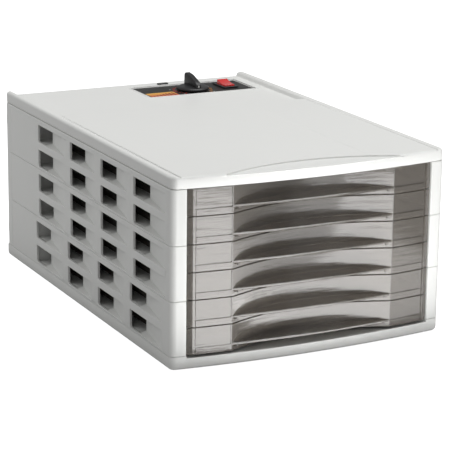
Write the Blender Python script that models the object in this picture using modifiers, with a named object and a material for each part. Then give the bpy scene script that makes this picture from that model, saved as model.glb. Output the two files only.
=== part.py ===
"""Food dehydrator with six pull-out trays, a rear fan and heater bay and a lid with its controls.

Metres, +Z up, the front faces -Y. The origin is on the floor, in the middle of the footprint.
Distances named yf run to the rear from the line through the two front corners.
"""
import math

import bmesh
import bpy
from mathutils import Matrix, Vector

# Overall sizes
BODY_WIDTH = 0.312
SIDE_DEPTH = 0.4575        # front corner line to rear face
FRONT_BOW = 0.0106         # bulge of the front past the corner line
LIP_PROUD = 0.0015         # tray lip past the bowed front
FOOT_PROUD = 0.0015
BASE_HEIGHT = 0.014
BASE_DECK = 0.0114
MODULE_HEIGHT = 0.0568
MODULES = 3
LEVELS = 2                 # trays in each module
LID_RIM_HEIGHT = 0.0128
LID_PANEL_DROP = 0.0007    # middle of the lid below its side rims
LID_SIDE_INSET = 0.001
CORNER_RADIUS = 0.0075
REAR_RADIUS = 0.004
WALL = 0.003
GAP = 0.0003               # between touching pieces
# Housing details
POST_WIDTH = 0.0167
POST_RETURN = 0.012
RAIL_WIDTH = 0.0190
RAIL_LOW = 0.0003
RAIL_TOP = 0.0020
COVER_DEPTH = 0.0182
BAY_DEPTH = 0.072          # machine bay between cross wall and rear cover
VENT_COLUMNS = 4
VENT_FRONT = 0.012
VENT_REAR = 0.0123
VENT_BAR = 0.016
VENT_END_EXTRA = 0.010     # first and last columns are longer
VENT_OPEN = 0.035          # through part of each vent, behind its ramp
VENT_LOW = 0.0022
VENT_HIGH = 0.0220
VENT_DEPTH = 0.010
VENT_SKIN = 0.0016
LOWER_VENT_SHIFT = 0.009   # the lowest module's vents sit farther back
SLOT_COUNT = 7
SLOT_SIZE = (0.024, 0.013)
SLOT_PITCH = 0.035
BOSS_WIDTH = 0.013
BOSS_HALF_HEIGHT = 0.0055
BOSS_LENGTH = 0.012
BOSS_EDGE = 0.020          # boss axis from the end of its module
SCREW_INSET = 0.0095
SCREW_SHANK = 0.0032
SCREW_HEAD = 0.0068
SCREW_HEAD_HEIGHT = 0.0024
SCREW_BITE = 0.008
FOOT_DIAMETER = 0.016
FOOT_INSET = (0.026, 0.030)
FOOT_SOCKET = 0.003
# Lid
LID_SKIN = 0.0032
RIM_WIDTH = 0.0088
SCOOP_HALF = 0.100         # where the scoop's arc meets the front
SCOOP_APEX = 0.0175
SCOOP_DEPTH = 0.0012
ZONE_START = SIDE_DEPTH - 0.1545   # control zone's front edge, from the corner line
ZONE_SKEW = 0.04
ZONE_DROP = 0.0057         # floor of the control zone below the rims
ZONE_SKIN = 0.0045
PANEL_SIZE = (0.1365, 0.060)
PANEL_CENTRE = (0.0638, 0.0495)   # from the middle, and in from the rear face
PANEL_RECESS = 0.0022
PANEL_THICK = 0.0012
KNOB_CENTRE = (0.0610, 0.0535)
KNOB_DIAMETER = 0.0386
KNOB_LIFT = 0.0012
KNOB_SKIRT = 0.0034
KNOB_GRIP = (0.0065, 0.0340, 0.0145)
SPINDLE_DIAMETER = 0.004
NECK_DIAMETER = 0.010
SWITCH_CENTRE = (0.1080, 0.0465)
ROCKER_SIZE = (0.0134, 0.0208)
ROCKER_TILT = 10.0
SWITCH_WALL = 0.0014
SWITCH_CLEARANCE = 0.0004
SWITCH_SWING = 0.0024      # room beyond each end of the rocker
SWITCH_FLANGE = 0.0015
SWITCH_DEPTH = 0.020
# Trays
FRONT_CLEARANCE = 0.0006   # between a tray's front and the posts
TRAY_CLEARANCE = 0.0018    # between a tray and the posts' inner sides
TRAY_REAR_CLEARANCE = 0.012
FRONT_THICK = 0.0025
HOLLOW_HALF = 0.0915
HOLLOW_APEX = 0.0132
LIP_TOP = 0.0085
LIP_THICK = 0.0025
TRAY_PLATE = 0.0030
TRAY_RIM = 0.0060          # rim's height from the tray's underside
TRAY_RIM_WIDTH = 0.008
TRAY_WINDOWS = (6, 7)
TRAY_RIB = 0.005
SHEET_THICK = 0.0008
SHEET_CLEARANCE = 0.003
# Fan, motor and heater
FAN_DIAMETER = 0.118
FAN_CLEARANCE = 0.004
FAN_HUB = 0.040
FAN_DEPTH = 0.014
FAN_BLADES = 6
BLADE_CHORD = 0.021
BLADE_PITCH = 35.0
SHAFT_DIAMETER = 0.004
MOTOR_SIZE = (0.052, 0.020, 0.044)
HEATER_SIZE = (0.170, 0.130)
HEATER_DEPTH = 0.007
HEATER_BAR = 0.008
COIL_WIRE = 0.002
COIL_RUNS = 6

# Derived places
HALF = BODY_WIDTH / 2
TOTAL_DEPTH = SIDE_DEPTH + FRONT_BOW + LIP_PROUD
CORNER_Y = -TOTAL_DEPTH / 2 + LIP_PROUD + FRONT_BOW
REAR_Y = CORNER_Y + SIDE_DEPTH
LEVEL_HEIGHT = MODULE_HEIGHT / LEVELS
BASE_TOP = FOOT_PROUD + BASE_HEIGHT
LID_BOTTOM = BASE_TOP + MODULES * MODULE_HEIGHT
LID_TOP = LID_BOTTOM + LID_RIM_HEIGHT
ZONE_FLOOR = LID_TOP - ZONE_DROP
ZONE_UNDER = ZONE_FLOOR - ZONE_SKIN
COVER_Y = REAR_Y - COVER_DEPTH
CROSS_REAR = COVER_Y - BAY_DEPTH
CROSS_FRONT = CROSS_REAR - WALL
POST_INNER = HALF - POST_WIDTH
FRONT_HALF = POST_INNER - FRONT_CLEARANCE
TRAY_HALF = POST_INNER - TRAY_CLEARANCE
TRAY_REAR = CROSS_FRONT - TRAY_REAR_CLEARANCE
FAN_Z = BASE_TOP + MODULES * MODULE_HEIGHT / 2
PANEL_TOP = ZONE_FLOOR - PANEL_RECESS + GAP + PANEL_THICK


def clear_scene():
    for obj in list(bpy.data.objects):
        bpy.data.objects.remove(obj, do_unlink=True)


def make_collection(name):
    coll = bpy.data.collections.new(name)
    bpy.context.scene.collection.children.link(coll)
    return coll


clear_scene()
PARTS = make_collection("food_dehydrator")
CUTTERS = make_collection("cutters")


def bow(x):
    """Offset of the bowed front from the corner line at a given x."""
    return -FRONT_BOW * (1.0 - (x / HALF) ** 2)


def arc_through(half, end, apex, x):
    """Arc over +-half that starts and ends at one offset and has its apex at the middle."""
    rise = apex - end
    radius = (half * half + rise * rise) / (2.0 * rise)
    return apex - radius + math.sqrt(radius * radius - x * x)


def steps(a, b, count):
    return [a + (b - a) * i / count for i in range(count + 1)]


def add_material(obj, rgb, roughness, metallic=0.0):
    mat = bpy.data.materials.new(obj.name)
    mat.use_nodes = True
    shader = mat.node_tree.nodes["Principled BSDF"]
    shader.inputs["Base Color"].default_value = (*rgb, 1.0)
    shader.inputs["Roughness"].default_value = roughness
    shader.inputs["Metallic"].default_value = metallic
    obj.data.materials.append(mat)


def finish(obj, look):
    """Move a piece to the parts collection and give it its material."""
    for coll in list(obj.users_collection):
        coll.objects.unlink(obj)
    PARTS.objects.link(obj)
    add_material(obj, *look)
    return obj


def as_cutter(obj):
    for coll in list(obj.users_collection):
        coll.objects.unlink(obj)
    CUTTERS.objects.link(obj)
    obj.hide_render = True
    obj.display_type = 'WIRE'
    return obj


def boolean(obj, other, operation):
    as_cutter(other)
    mod = obj.modifiers.new(other.name, 'BOOLEAN')
    mod.operation = operation
    mod.solver = 'EXACT'
    mod.object = other
    return obj


def cut(obj, other):
    return boolean(obj, other, 'DIFFERENCE')


def join(obj, other):
    return boolean(obj, other, 'UNION')


def mesh_object(name, bm, location=(0.0, 0.0, 0.0)):
    mesh = bpy.data.meshes.new(name)
    bm.to_mesh(mesh)
    bm.free()
    obj = bpy.data.objects.new(name, mesh)
    obj.location = location
    CUTTERS.objects.link(obj)
    return obj


def boxes(name, spans, origin=(0.0, 0.0, 0.0)):
    """Separate boxes in one mesh, each given by its low and high corners."""
    bm = bmesh.new()
    for low, high in spans:
        size = [h - l for l, h in zip(low, high)]
        middle = [(h + l) / 2 - o for l, h, o in zip(low, high, origin)]
        matrix = Matrix.Translation(middle) @ Matrix.Diagonal((*size, 1.0))
        bmesh.ops.create_cube(bm, size=1.0, matrix=matrix)
    return mesh_object(name, bm, origin)


def box(name, low, high):
    centre = [(l + h) / 2 for l, h in zip(low, high)]
    return boxes(name, [(low, high)], centre)


PLANES = {
    'XY': Matrix.Identity(4),
    'XZ': Matrix(((1, 0, 0, 0), (0, 0, -1, 0), (0, 1, 0, 0), (0, 0, 0, 1))),
    'YZ': Matrix(((0, 0, 1, 0), (1, 0, 0, 0), (0, 1, 0, 0), (0, 0, 0, 1))),
}


def curve_to_mesh(curve_obj, name):
    """Weld an evaluated curve's caps and keep it as a mesh object at the same place."""
    bpy.context.view_layer.update()
    graph = bpy.context.evaluated_depsgraph_get()
    mesh = bpy.data.meshes.new_from_object(curve_obj.evaluated_get(graph))
    bm = bmesh.new()
    bm.from_mesh(mesh)
    bmesh.ops.remove_doubles(bm, verts=bm.verts, dist=0.000002)
    bmesh.ops.recalc_face_normals(bm, faces=bm.faces)
    bm.to_mesh(mesh)
    bm.free()
    obj = bpy.data.objects.new(name, mesh)
    CUTTERS.objects.link(obj)
    obj.matrix_world = curve_obj.matrix_world.copy()
    bpy.data.objects.remove(curve_obj, do_unlink=True)
    return obj


def prism(name, points, low, high, plane='XY', offset=(0.0, 0.0, 0.0)):
    """Filled outline extruded from low to high along the plane's normal axis."""
    data = bpy.data.curves.new(name, 'CURVE')
    data.dimensions = '2D'
    data.fill_mode = 'BOTH'
    data.extrude = (high - low) / 2
    spline = data.splines.new('POLY')
    spline.points.add(len(points) - 1)
    for point, (u, v) in zip(spline.points, points):
        point.co = (u, v, 0.0, 1.0)
    spline.use_cyclic_u = True
    guide = bpy.data.objects.new(name + "_outline", data)
    CUTTERS.objects.link(guide)
    axis = {'XY': Vector((0, 0, 1)), 'XZ': Vector((0, 1, 0)), 'YZ': Vector((1, 0, 0))}[plane]
    place = axis * ((low + high) / 2) + Vector(offset)
    guide.matrix_world = Matrix.Translation(place) @ PLANES[plane]
    return curve_to_mesh(guide, name)


def cylinders(name, items, segments=24, origin=(0.0, 0.0, 0.0)):
    """Separate cylinders in one mesh: centre of one end, axis letter, length, radius."""
    bm = bmesh.new()
    turns = {'X': Matrix.Rotation(math.radians(90), 4, 'Y'),
             'Y': Matrix.Rotation(math.radians(-90), 4, 'X'),
             'Z': Matrix.Identity(4)}
    for start, axis, length, radius in items:
        middle = Vector(start) - Vector(origin)
        middle['XYZ'.index(axis)] += length / 2
        bmesh.ops.create_cone(bm, cap_ends=True, segments=segments, radius1=radius,
                              radius2=radius, depth=length,
                              matrix=Matrix.Translation(middle) @ turns[axis])
    return mesh_object(name, bm, origin)


def turned(name, profile, location, segments=32, along='Z'):
    """Screw a profile of (radius, height), listed from its top down the outside."""
    bm = bmesh.new()
    verts = [bm.verts.new((radius, 0.0, height)) for radius, height in profile]
    for first, second in zip(verts, verts[1:]):
        bm.edges.new((first, second))
    if profile[0][0] > 0.0:
        bm.edges.new((verts[-1], verts[0]))
    obj = mesh_object(name, bm, location)
    if along == 'Y':
        obj.rotation_euler = (math.radians(-90), 0.0, 0.0)
    mod = obj.modifiers.new("Turn", 'SCREW')
    mod.axis = 'Z'
    mod.angle = math.tau
    mod.steps = segments
    mod.render_steps = segments
    mod.use_merge_vertices = True
    mod.merge_threshold = 0.00001
    mod.use_smooth_shade = True
    return obj


def smooth(obj, angle=30.0):
    obj.data.shade_smooth()
    obj.data.set_sharp_from_angle(angle=math.radians(angle))
    return obj


WHITE = ((0.72, 0.73, 0.71), 0.35)
BLACK = ((0.02, 0.02, 0.022), 0.4)
SMOKED = ((0.16, 0.14, 0.12), 0.25)
MESH = ((0.12, 0.11, 0.10), 0.5)
RUBBER = ((0.03, 0.03, 0.03), 0.8)
STEEL = ((0.60, 0.60, 0.60), 0.35, 1.0)
MICA = ((0.45, 0.36, 0.24), 0.6)
NICHROME = ((0.40, 0.36, 0.33), 0.4, 1.0)
RED = ((0.70, 0.03, 0.01), 0.3)
CREAM = ((0.75, 0.70, 0.55), 0.5)


def outline(inset, rear, side=None):
    """Plan outline with the bowed front, rounded corners and a straight rear edge."""
    side = HALF - inset if side is None else side
    r_front = CORNER_RADIUS - inset
    r_rear = max(REAR_RADIUS - inset, 0.0005)
    turn = side - r_front
    points = [(x, CORNER_Y + inset + bow(x)) for x in steps(-turn, turn, 10)]
    y_end = points[-1][1]
    for a in steps(-90, 0, 4)[1:]:
        points.append((turn + r_front * math.cos(math.radians(a)),
                       y_end + r_front + r_front * math.sin(math.radians(a))))
    for a in steps(0, 90, 3):
        points.append((side - r_rear + r_rear * math.cos(math.radians(a)),
                       rear - r_rear + r_rear * math.sin(math.radians(a))))
    for a in steps(90, 180, 3):
        points.append((-side + r_rear + r_rear * math.cos(math.radians(a)),
                       rear - r_rear + r_rear * math.sin(math.radians(a))))
    for a in steps(180, 270, 4)[:-1]:
        points.append((-turn + r_front * math.cos(math.radians(a)),
                       y_end + r_front + r_front * math.sin(math.radians(a))))
    return points


# ---------------------------------------------------------------- base and feet
FOOT_SPOTS = [(sx * (HALF - FOOT_INSET[0]), y)
              for y in (CORNER_Y + FOOT_INSET[1], REAR_Y - FOOT_INSET[1])
              for sx in (-1, 1)]


def build_base():
    base = prism("base", outline(0.0, REAR_Y), FOOT_PROUD, BASE_TOP - GAP)
    hollow_top = FOOT_PROUD + BASE_DECK - WALL
    hollow = prism("base_hollow", outline(WALL, REAR_Y - WALL), FOOT_PROUD - 0.01, hollow_top)
    cut(base, hollow)
    well = boxes("base_well", [((-POST_INNER, CORNER_Y - 0.05, FOOT_PROUD + BASE_DECK),
                                (POST_INNER, CROSS_FRONT - WALL, BASE_TOP + 0.01))])
    cut(base, well)
    bay = boxes("base_bay", [((-HALF + WALL, CROSS_REAR + WALL, FOOT_PROUD + BASE_DECK),
                              (HALF - WALL, REAR_Y - WALL, BASE_TOP + 0.01))])
    cut(base, bay)
    radius = FOOT_DIAMETER / 2 + WALL
    join(base, cylinders("base_bosses", [((x, y, FOOT_PROUD), 'Z', hollow_top - FOOT_PROUD
                                          + WALL / 2, radius) for x, y in FOOT_SPOTS]))
    cut(base, cylinders("base_sockets", [((x, y, FOOT_PROUD - 0.005), 'Z', 0.005 + FOOT_SOCKET
                                          + GAP, FOOT_DIAMETER / 2 + GAP)
                                         for x, y in FOOT_SPOTS]))
    finish(base, WHITE)
    for index, (x, y) in enumerate(FOOT_SPOTS):
        foot = cylinders("foot_%d" % (index + 1), [((x, y, 0.0), 'Z', FOOT_PROUD + FOOT_SOCKET,
                                                   FOOT_DIAMETER / 2)], 24, (x, y, 0.0))
        finish(smooth(foot), RUBBER)


# ---------------------------------------------------------------- stacked modules
def vent_columns(shift):
    """Front edge, ramp end and rear edge of each vent, as y."""
    first = CORNER_Y + VENT_FRONT + shift
    span = CROSS_FRONT - VENT_REAR - CORNER_Y - VENT_FRONT
    bars = (VENT_COLUMNS - 1) * VENT_BAR
    length = (span - bars - 2 * VENT_END_EXTRA) / VENT_COLUMNS
    columns = []
    start = first
    for index in range(VENT_COLUMNS):
        extra = VENT_END_EXTRA if index in (0, VENT_COLUMNS - 1) else 0.0
        end = start + length + extra
        columns.append((start, end - VENT_OPEN, end))
        start = end + VENT_BAR
    return columns


def prism_islands(name, outlines):
    """Several plan outlines with their own heights, as separate bodies of one mesh."""
    bm = bmesh.new()
    for points, low, high in outlines:
        ring = [bm.verts.new((x, y, low)) for x, y in points]
        face = bm.faces.new(ring)
        made = bmesh.ops.extrude_face_region(bm, geom=[face])
        top = [v for v in made["geom"] if isinstance(v, bmesh.types.BMVert)]
        bmesh.ops.translate(bm, verts=top, vec=(0.0, 0.0, high - low))
    bmesh.ops.recalc_face_normals(bm, faces=bm.faces)
    return mesh_object(name, bm)


def module_outline():
    """H-shaped plan: two side walls with channel posts in front, and the cross wall."""
    inner = HALF - WALL
    turn = HALF - CORNER_RADIUS
    right = [(POST_INNER, CORNER_Y + POST_RETURN)]
    right += [(x, CORNER_Y + bow(x)) for x in steps(POST_INNER, turn, 3)]
    y_end = right[-1][1]
    for a in steps(-90, 0, 4)[1:]:
        right.append((turn + CORNER_RADIUS * math.cos(math.radians(a)),
                      y_end + CORNER_RADIUS + CORNER_RADIUS * math.sin(math.radians(a))))
    cover = COVER_Y - GAP
    right += [(HALF, cover), (inner, cover), (inner, CROSS_REAR)]
    left = [(-x, y) for x, y in reversed(right)]
    front_inner = CORNER_Y + bow(POST_INNER + WALL) + WALL
    inside_left = [(-POST_INNER - WALL, CORNER_Y + POST_RETURN),
                   (-POST_INNER - WALL, front_inner), (-inner, front_inner + WALL / 2),
                   (-inner, CROSS_FRONT)]
    inside_right = [(-x, y) for x, y in reversed(inside_left)]
    return right + left + inside_left + inside_right


def vent_shapes(bottom, shift):
    scoops = []
    pockets = []
    for side in (-1, 1):
        for level in range(LEVELS):
            z = bottom + level * LEVEL_HEIGHT
            for start, ramp_end, end in vent_columns(shift):
                mid = HALF - WALL / 2
                deep = HALF - VENT_DEPTH
                skin = deep - VENT_SKIN
                scoop = [(mid, start + 0.004), (mid, ramp_end + 0.001), (skin, ramp_end + 0.001),
                         (skin, ramp_end - 0.002)]
                pocket = [(HALF + 0.002, start), (HALF + 0.002, end), (skin - 0.002, end),
                          (skin - 0.002, ramp_end), (deep, ramp_end), (HALF, start)]
                scoops.append(([(side * x, y) for x, y in scoop],
                               z + VENT_LOW - VENT_SKIN, z + VENT_HIGH + VENT_SKIN))
                pockets.append(([(side * x, y) for x, y in pocket], z + VENT_LOW, z + VENT_HIGH))
    return scoops, pockets


def screw_spots():
    """Screw axes of the rear cover as (x, z): two in the lowest module, two in the top one."""
    low = BASE_TOP + BOSS_EDGE
    high = LID_BOTTOM - BOSS_EDGE
    x = HALF - SCREW_INSET
    return [(-x, low), (x, low), (-x, high), (x, high)]


def build_module(name, index):
    bottom = BASE_TOP + index * MODULE_HEIGHT
    top = bottom + MODULE_HEIGHT
    module = prism(name, module_outline(), bottom, top - GAP)
    shift = LOWER_VENT_SHIFT if index == 0 else 0.0
    scoops, pockets = vent_shapes(bottom, shift)
    rails = []
    slots = []
    for level in range(LEVELS):
        z = bottom + level * LEVEL_HEIGHT
        for side in (-1, 1):
            xs = sorted((side * (HALF - WALL / 2), side * (HALF - WALL - RAIL_WIDTH)))
            rails.append(((xs[0], CORNER_Y + POST_RETURN + 0.002, z + RAIL_LOW),
                          (xs[1], CROSS_FRONT + WALL / 2, z + RAIL_TOP)))
        for slot in range(SLOT_COUNT):
            x = (slot - (SLOT_COUNT - 1) / 2) * SLOT_PITCH
            middle = z + LEVEL_HEIGHT / 2
            slots.append(((x - SLOT_SIZE[0] / 2, CROSS_FRONT - 0.002, middle - SLOT_SIZE[1] / 2),
                          (x + SLOT_SIZE[0] / 2, CROSS_REAR + 0.002, middle + SLOT_SIZE[1] / 2)))
    join(module, boxes(name + "_rails", rails))
    join(module, prism_islands(name + "_scoops", scoops))
    cut(module, prism_islands(name + "_vents", pockets))
    cut(module, boxes(name + "_slots", slots))
    bosses = []
    holes = []
    for x, z in screw_spots():
        if bottom < z < top:
            xs = sorted((math.copysign(HALF - WALL / 2, x),
                         math.copysign(HALF - WALL / 2 - BOSS_WIDTH, x)))
            bosses.append(((xs[0], COVER_Y - GAP - BOSS_LENGTH, z - BOSS_HALF_HEIGHT),
                           (xs[1], COVER_Y - GAP, z + BOSS_HALF_HEIGHT)))
            holes.append(((x, COVER_Y - SCREW_BITE - 0.001, z), 'Y', SCREW_BITE + 0.01,
                          SCREW_SHANK / 2 + GAP))
    if bosses:
        join(module, boxes(name + "_bosses", bosses))
        cut(module, cylinders(name + "_boss_holes", holes, 12))
    finish(module, WHITE)


# ---------------------------------------------------------------- rear cover and its screws
GLAND_SPOT = (-0.110, 0.034)       # x, and height above the base
GLAND_DIAMETER = 0.014
GLAND_FLANGE = 0.019
GLAND_BORE = 0.008
GRILLE_SLOTS = 9
GRILLE_SLOT = (0.100, 0.005)
GRILLE_PITCH = 0.0125


def build_rear_cover():
    low = BASE_TOP
    high = LID_BOTTOM - GAP
    radius = 0.008
    pts = [(-HALF, COVER_Y), (HALF, COVER_Y)]
    for a in steps(0, 90, 4):
        pts.append((HALF - radius + radius * math.cos(math.radians(a)),
                    REAR_Y - radius + radius * math.sin(math.radians(a))))
    for a in steps(90, 180, 4):
        pts.append((-HALF + radius + radius * math.cos(math.radians(a)),
                    REAR_Y - radius + radius * math.sin(math.radians(a))))
    cover = prism("rear_cover", pts, low, high)
    cut(cover, boxes("cover_hollow", [((-HALF + WALL, COVER_Y - 0.01, low + WALL),
                                       (HALF - WALL, REAR_Y - WALL, high - WALL))]))
    bosses = []
    holes = []
    heads = []
    for x, z in screw_spots():
        xs = sorted((math.copysign(HALF - WALL / 2, x),
                     math.copysign(HALF - WALL / 2 - BOSS_WIDTH, x)))
        bosses.append(((xs[0], COVER_Y, z - BOSS_HALF_HEIGHT),
                       (xs[1], REAR_Y - WALL / 2, z + BOSS_HALF_HEIGHT)))
        holes.append(((x, COVER_Y - 0.01, z), 'Y', 0.04, SCREW_SHANK / 2 + GAP))
        heads.append(((x, REAR_Y - SCREW_HEAD_HEIGHT - GAP, z), 'Y', 0.02,
                      SCREW_HEAD / 2 + GAP))
    join(cover, boxes("cover_bosses", bosses))
    cut(cover, cylinders("cover_screw_holes", holes, 12))
    cut(cover, cylinders("cover_head_wells", heads, 16))
    slots = []
    for index in range(GRILLE_SLOTS):
        z = FAN_Z + (index - (GRILLE_SLOTS - 1) / 2) * GRILLE_PITCH
        slots.append(((-GRILLE_SLOT[0] / 2, REAR_Y - WALL - 0.002, z - GRILLE_SLOT[1] / 2),
                      (GRILLE_SLOT[0] / 2, REAR_Y + 0.01, z + GRILLE_SLOT[1] / 2)))
    cut(cover, boxes("cover_grille", slots))
    spot = (GLAND_SPOT[0], REAR_Y - 0.01, BASE_TOP + GLAND_SPOT[1])
    cut(cover, cylinders("cover_gland_hole", [(spot, 'Y', 0.03, GLAND_DIAMETER / 2 + GAP)], 24))
    finish(cover, WHITE)
    for index, (x, z) in enumerate(screw_spots()):
        head_y = REAR_Y - SCREW_HEAD_HEIGHT
        profile = [(0.0, 0.0024), (SCREW_HEAD / 2 * 0.7, 0.0022), (SCREW_HEAD / 2, 0.0008),
                   (SCREW_HEAD / 2, 0.0), (SCREW_SHANK / 2, 0.0),
                   (SCREW_SHANK / 2, -(head_y - COVER_Y) - SCREW_BITE + 0.001),
                   (0.0, -(head_y - COVER_Y) - SCREW_BITE)]
        screw = turned("rear_screw_%d" % (index + 1), profile, (x, head_y, z), 12, 'Y')
        finish(screw, STEEL)
    rear = REAR_Y - GAP
    inner = REAR_Y - WALL - GAP
    profile = [(GLAND_BORE / 2, rear), (GLAND_DIAMETER / 2, rear), (GLAND_DIAMETER / 2, inner),
               (GLAND_FLANGE / 2, inner), (GLAND_FLANGE / 2, inner - 0.003),
               (GLAND_BORE / 2, inner - 0.003)]
    profile = [(r, y - inner) for r, y in profile]
    gland = turned("cord_gland", profile, (GLAND_SPOT[0], inner, BASE_TOP + GLAND_SPOT[1]),
                   24, 'Y')
    finish(gland, BLACK)


# ---------------------------------------------------------------- lid
def build_lid():
    inset = LID_SIDE_INSET
    lid = prism("lid", outline(0.0, REAR_Y, HALF - inset), LID_BOTTOM, LID_TOP)
    bm = bmesh.new()
    bm.from_mesh(lid.data)
    top = max(v.co.z for v in bm.verts)
    rim = [e for e in bm.edges if all(abs(v.co.z - top) < 0.00001 for v in e.verts)
           and len(e.link_faces) == 2 and abs(e.calc_face_angle(0.0)) > 0.5]
    bmesh.ops.bevel(bm, geom=rim, offset=0.002, segments=2, affect='EDGES', profile=0.5)
    bm.to_mesh(lid.data)
    bm.free()
    inner = HALF - inset - RIM_WIDTH
    panel_z = LID_TOP - LID_PANEL_DROP
    cut(lid, boxes("lid_panel_cut", [((-inner, CORNER_Y - 0.05, panel_z),
                                      (inner, REAR_Y + 0.01, LID_TOP + 0.01))]))
    scoop = [(x, CORNER_Y + arc_through(SCOOP_HALF, bow(SCOOP_HALF), SCOOP_APEX, x))
             for x in steps(-SCOOP_HALF, SCOOP_HALF, 12)]
    scoop += [(SCOOP_HALF, CORNER_Y - 0.03), (-SCOOP_HALF, CORNER_Y - 0.03)]
    cut(lid, prism("lid_scoop_cut", scoop, panel_z - SCOOP_DEPTH, LID_TOP + 0.01))
    zone = [(x, CORNER_Y + ZONE_START - ZONE_SKEW * x) for x in (-inner, inner)]
    zone += [(inner, REAR_Y + 0.01), (-inner, REAR_Y + 0.01)]
    cut(lid, prism("lid_zone_cut", zone, ZONE_FLOOR, LID_TOP + 0.012))
    front_end = CORNER_Y + ZONE_START - 0.013
    under = outline(LID_SKIN, front_end, HALF - inset - LID_SKIN)
    cut(lid, prism("lid_front_hollow", under, LID_BOTTOM - 0.01, panel_z - LID_SKIN))
    side = HALF - inset - LID_SKIN
    cut(lid, boxes("lid_rear_hollows", [
        ((-side, front_end + LID_SKIN, LID_BOTTOM - 0.01), (side, CROSS_FRONT - 0.001, ZONE_UNDER)),
        ((-side, CROSS_REAR + 0.001, LID_BOTTOM - 0.01), (side, REAR_Y - LID_SKIN, ZONE_UNDER))]))
    px, py = panel_centre()
    cut(lid, boxes("lid_panel_pocket", [
        ((px - PANEL_SIZE[0] / 2, py - PANEL_SIZE[1] / 2, ZONE_FLOOR - PANEL_RECESS),
         (px + PANEL_SIZE[0] / 2, py + PANEL_SIZE[1] / 2, LID_TOP + 0.01))]))
    cut_control_holes(lid, "lid", ZONE_UNDER - 0.003, ZONE_FLOOR)
    finish(lid, WHITE)


def panel_centre():
    return PANEL_CENTRE[0], REAR_Y - PANEL_CENTRE[1]


def knob_centre():
    return KNOB_CENTRE[0], REAR_Y - KNOB_CENTRE[1]


def switch_centre():
    return SWITCH_CENTRE[0], REAR_Y - SWITCH_CENTRE[1]


def switch_half():
    """Half width and half length of the switch body below its flange."""
    return (ROCKER_SIZE[0] / 2 + SWITCH_CLEARANCE + SWITCH_WALL,
            ROCKER_SIZE[1] / 2 + SWITCH_SWING + SWITCH_WALL)


def cut_control_holes(obj, name, low, high):
    kx, ky = knob_centre()
    cut(obj, cylinders(name + "_spindle_hole", [((kx, ky, low), 'Z', high - low,
                                                NECK_DIAMETER / 2 + GAP)], 24))
    sx, sy = switch_centre()
    hx, hy = (h + GAP for h in switch_half())
    cut(obj, boxes(name + "_switch_hole", [((sx - hx, sy - hy, low), (sx + hx, sy + hy, high))]))


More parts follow.
